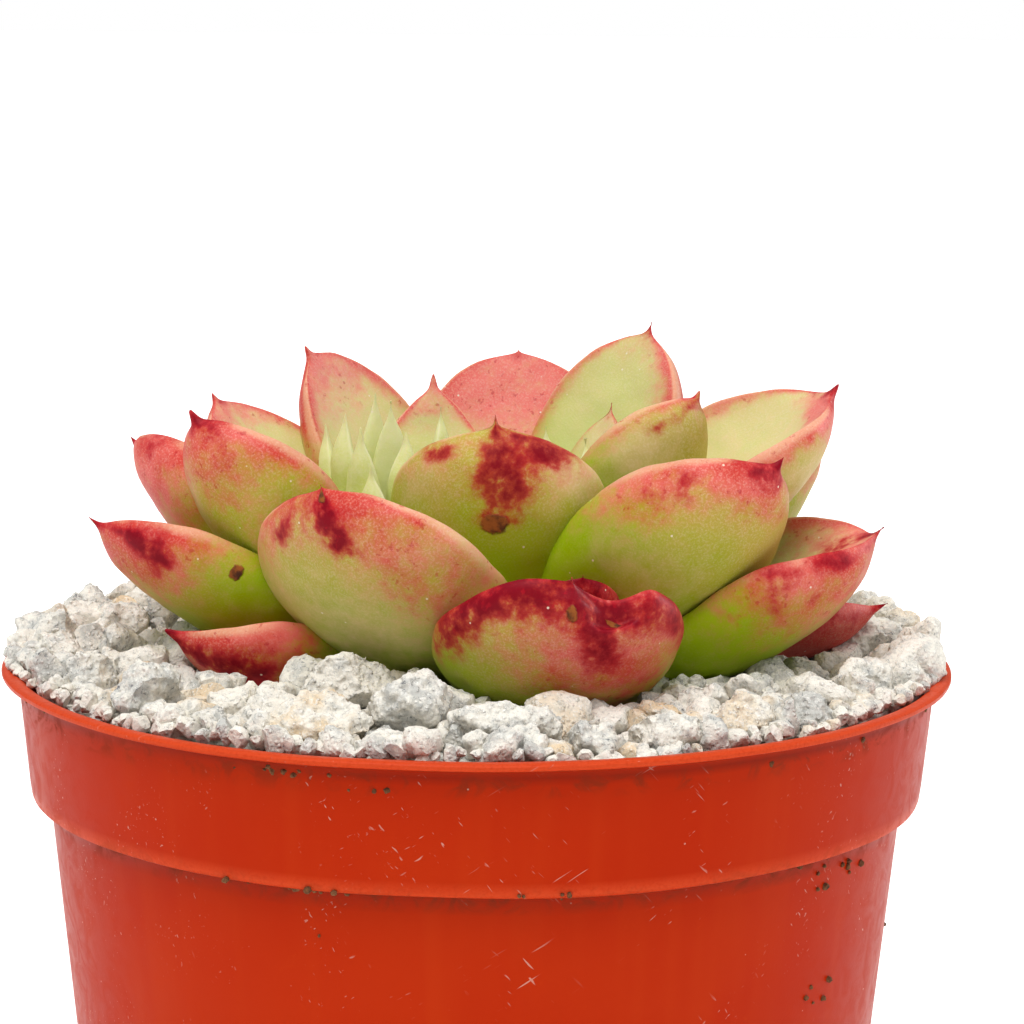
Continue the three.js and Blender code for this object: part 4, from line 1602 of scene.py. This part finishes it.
    def large_stone(self, plan: Stone) -> None:
        """Builds one large stone with its lumps and grit.

        Args:
            plan: The stone's size and place.
        """
        stone = self.chipped("pumice_stone_" + plan.name, 9, 0.0, 2)
        stone.scale = Vector(plan.widths) * MM * self.MAKE_UP
        stone.rotation_euler = (0, 0, math.radians(plan.turn))
        stone.location = Vector(plan.middle) * MM + Vector((0, 0, self.rim))
        Bench.settle(stone)
        Bench.apply(stone, "REMESH", mode="VOXEL", voxel_size=0.19 * MM)
        for size, depth in ((2.4, 1.3), (0.95, 0.7), (0.4, 0.35)):
            Bench.roughen(stone, size * MM, depth * MM, 0.55)
        Bench.smooth(stone, 70)
        self.tint(stone, plan.tone, plan.warm)
        stone.data.materials.append(self.rock)
        hand_over(stone, "pumice", "stone_" + plan.name)

    def mound(self) -> None:
        """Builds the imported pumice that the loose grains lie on."""
        Bench.clear()
        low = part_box("pumice_bed")[0][2]
        bpy.ops.mesh.primitive_cylinder_add(vertices=96, radius=self.MOUND_RADIUS * MM, depth=self.PLATE * MM,
                                            location=(0, 0, low + self.PLATE * MM / 2))
        mound = Bench.made("packed_pumice")
        Bench.settle(mound)
        Bench.open(mound)
        bpy.ops.mesh.select_mode(type="FACE")
        sheet = bmesh.from_edit_mesh(mound.data)
        for face in sheet.faces:
            face.select = face.normal.z > 0.9
        bmesh.update_edit_mesh(mound.data)
        front = Vector((0, -MM))
        sunk = max(depth for _, _, depth in self.HOLLOWS) * MM
        out = self.MOUND_RADIUS
        height = self.bed_top(front * out) - low - (self.PLATE + self.TOP_SINK) * MM - sunk
        bpy.ops.mesh.extrude_region_move(TRANSFORM_OT_translate={"value": (0, 0, height)})
        while out > self.MOUND_CROWN:
            bpy.ops.mesh.inset(thickness=self.MOUND_STEP * MM, depth=0)
            step = self.bed_top(front * (out - self.MOUND_STEP)) - self.bed_top(front * out)
            bpy.ops.transform.translate(value=(0, 0, step))
            out -= self.MOUND_STEP
        Bench.shut()
        highest = self.BANK * MM + sunk
        banked = mound.vertex_groups.new(name="banked")
        for vertex in mound.data.vertices:
            spot = vertex.co.xy
            if vertex.co.z > low + (self.PLATE + 0.1) * MM:
                more = self.bed_top(spot) - self.bed_top(front * spot.length / MM) + sunk
                banked.add([vertex.index], between(more / highest), "REPLACE")
        Bench.apply(mound, "DISPLACE", strength=highest, mid_level=0.0, direction="Z", vertex_group="banked")
        Bench.roughen(mound, 3 * MM, 1.0 * MM, 0.6)
        Bench.smooth(mound, 60)
        self.tint(mound, 0.8, 0.0)
        mound.data.materials.append(self.rock)
        hand_over(mound, "pumice", "pumice_bed")

    def scatter(self, name: str, patterns: Sequence[bpy.types.Object], count: int,
                widths: tuple[float, float], crowd: float, sink: float, ring: float = 0.0) -> None:
        """Strews copies over the mound, clear of leaves, of the wall and of each other.

        Args:
            name: The joined piece's name.
            patterns: The stones to copy.
            count: How many places are tried.
            widths: The smallest and largest width in millimetres.
            crowd: How near two may come, as a share of their widths.
            sink: How far each is let into the mound, as a share of its width.
            ring: How far out the first place is, as a share of the mound's radius.
        """
        copies, own = [], []
        for index in range(count * 6):
            if len(copies) >= count:
                break
            width = self.dice.uniform(*widths) * MM
            turn, out = self.dice.uniform(0, math.tau), math.sqrt(self.dice.uniform(ring * ring, 1))
            way = Vector((math.cos(turn), math.sin(turn)))
            reach = self.REACH + self.OVER_LIP * self.behind(way * self.REACH * MM)
            reach = min(reach + (self.OVER_EDGE if ring else 0), self.OUTERMOST) * MM
            spot = way * out * (reach - width * self.HALF_WIDTH)
            if any((spot - there).length < (size + width / 2) * crowd for there, size in self.placed + own):
                continue
            height = self.bed_top(spot) + width * (0.5 - sink) + self.dice.uniform(-0.3, 0.5) * MM
            at = Vector((*spot, height))
            while self.canopy.gap(at) < width * self.LEAF_GAP and at.z > height - self.DIG * MM:
                at.z -= self.DIG_STEP * MM
            if self.canopy.gap(at) < width * self.LEAF_GAP:
                continue
            at.z = max(at.z, self.lip_rest(spot, width * self.ROUND_RADIUS))
            own.append((spot, width / 2))
            copies.append(self.lay(patterns[index % len(patterns)], at, width))
        self.placed += own
        self.heap(copies, name, self.rock, "pumice")

    def lip_rest(self, spot: Vector, radius: float) -> float:
        """Works out how high a round grain has to lie to rest on the lip, not in it.

        Args:
            spot: The grain's place as x and y, in metres.
            radius: Its radius in metres.

        Returns:
            The least height of its middle in metres, far below the rim where the lip is out of reach.
        """
        inward = max(self.INNER_EDGE * MM - spot.length, 0.0)
        if inward >= radius:
            return 0.0
        return self.rim + math.sqrt(radius * radius - inward * inward) - self.LIP_GRIP * MM

    def lay(self, pattern: bpy.types.Object, at: Vector, width: float) -> bpy.types.Object:
        """Lays one copy down at a random turn.

        Args:
            pattern: The stone to copy.
            at: Its middle.
            width: Its width in metres.

        Returns:
            The copy.
        """
        grain = Bench.copy(pattern, "grain")
        grain.location = at
        grain.rotation_euler = [self.dice.uniform(0, math.tau) for _ in range(3)]
        grain.scale = [width * self.dice.uniform(0.8, 1.3) for _ in range(3)]
        tone = self.dice.uniform(-0.2, 0.9) + (1.0 if self.dice.random() < 0.04 else 0.0)
        warm = self.dice.uniform(0.5, 1.0) if self.dice.random() < 0.1 else 0.0
        self.tint(grain, tone, warm)
        return grain


# --- studio -----------------------------------------------------------------------------


@dataclass
class Studio:
    """A pale sheet, soft lights and the camera.

    Lengths are in metres, angles in degrees, and the lens in millimetres.
    """

    target: Point = (0.003, 0.0, 0.0882)
    distance: float = 0.28
    elevation: float = 8.8
    roll: float = 0.58
    lens: float = 109.6
    gamma: float = 0.9
    sheet_reach: float = 60.0

    def build(self) -> None:
        """Sets the studio up."""
        self.paper()
        self.light("overhead", (-0.15, -0.30, 0.85), 45, 2.25)
        self.light("side", (0.8, -0.1, 0.5), 30, 0.3)
        self.light("gleam", (0.9, 0.35, 0.25), 24, 1.6, False)
        self.air()
        bpy.context.scene.view_settings.view_transform = "Standard"
        bpy.context.scene.view_settings.gamma = self.gamma
        self.camera()

    @staticmethod
    def air() -> None:
        """Fills the room with soft light from above, against a white backdrop."""
        world = bpy.data.worlds.new("studio_air")
        world.use_nodes = True
        nodes, links = world.node_tree.nodes, world.node_tree.links
        split = nodes.new("ShaderNodeSeparateXYZ")
        fade = nodes.new("ShaderNodeMapRange")
        for value, socket in zip((-0.2, 1.0, 0.20, 0.72), list(fade.inputs)[1:5]):
            socket.default_value = value
        backdrop = nodes.new("ShaderNodeMath")
        backdrop.operation = "MAXIMUM"
        links.new(nodes.new("ShaderNodeTexCoord").outputs["Generated"], split.inputs["Vector"])
        links.new(split.outputs["Z"], fade.inputs["Value"])
        links.new(fade.outputs["Result"], backdrop.inputs[0])
        links.new(nodes.new("ShaderNodeLightPath").outputs["Is Camera Ray"], backdrop.inputs[1])
        links.new(backdrop.outputs[0], nodes["Background"].inputs["Strength"])
        nodes["Background"].inputs["Color"].default_value = (1, 1, 1, 1)
        bpy.context.scene.world = world

    def paper(self) -> None:
        """Lays the sheet, with its edges drawn far out."""
        Bench.clear()
        bpy.ops.mesh.primitive_plane_add(size=2, location=(0, 0, -0.0002))
        sheet = Bench.made("studio_sheet")
        Bench.settle(sheet)
        Bench.open(sheet)
        bpy.ops.mesh.select_mode(type="EDGE")
        bpy.ops.mesh.select_all(action="SELECT")
        bpy.ops.mesh.subdivide(number_cuts=7)
        Bench.pick(sheet, lambda at: max(abs(at.x), abs(at.y)) > 0.99)
        bpy.ops.transform.resize(value=(self.sheet_reach, self.sheet_reach, 1), center_override=(0, 0, 0))
        Bench.shut()
        sheet.data.materials.append(StudioPaper().make())

    def light(self, name: str, place: Point, spread: float, strength: float, fills: bool = True) -> None:
        """Hangs one broad soft light far off.

        Args:
            name: The light's name.
            place: The direction that it shines from.
            spread: How wide it looks from the plant, in degrees.
            strength: Its strength.
            fills: Whether it lights surfaces, and isn't only mirrored in them.
        """
        lamp = bpy.data.lights.new(name, "SUN")
        lamp.angle = math.radians(spread)
        lamp.energy = strength
        holder = bpy.data.objects.new(name, lamp)
        holder.rotation_euler = (-Vector(place)).to_track_quat("-Z", "Y").to_euler()
        holder.visible_diffuse = fills
        bpy.context.scene.collection.objects.link(holder)

    def camera(self) -> None:
        """Places the camera in front and a little above."""
        lens = bpy.data.cameras.new("camera")
        lens.lens = self.lens
        lens.clip_start = 0.01
        holder = bpy.data.objects.new("camera", lens)
        rise, roll = math.radians(self.elevation), math.radians(self.roll)
        forward = Vector((0, math.cos(rise), -math.sin(rise)))
        right, up = Vector((1, 0, 0)), Vector((0, math.sin(rise), math.cos(rise)))
        level = right * math.cos(roll) + up * math.sin(roll)
        upright = up * math.cos(roll) - right * math.sin(roll)
        pose = Matrix((level, upright, -forward)).transposed().to_4x4()
        pose.translation = Vector(self.target) - forward * self.distance
        holder.matrix_world = pose
        bpy.context.scene.collection.objects.link(holder)
        bpy.context.scene.camera = holder


def main() -> None:
    """Builds the pot, the plant, the topping and the studio, and dresses the substrate."""
    logging.basicConfig(level=logging.INFO, format="%(name)s: %(message)s")
    pot = Pot()
    pot.build()
    plant = Plant(pot.rim)
    plant.build()
    Topping(pot, Canopy(plant.leaves)).build()
    mix = EarthyFinish("potting_mix", (0.015, 0.008, 0.004), (0.06, 0.03, 0.015), 2.5, 0.6).make()
    dress_node("substrate", mix)
    Studio().build()


if __name__ == "__main__":
    main()
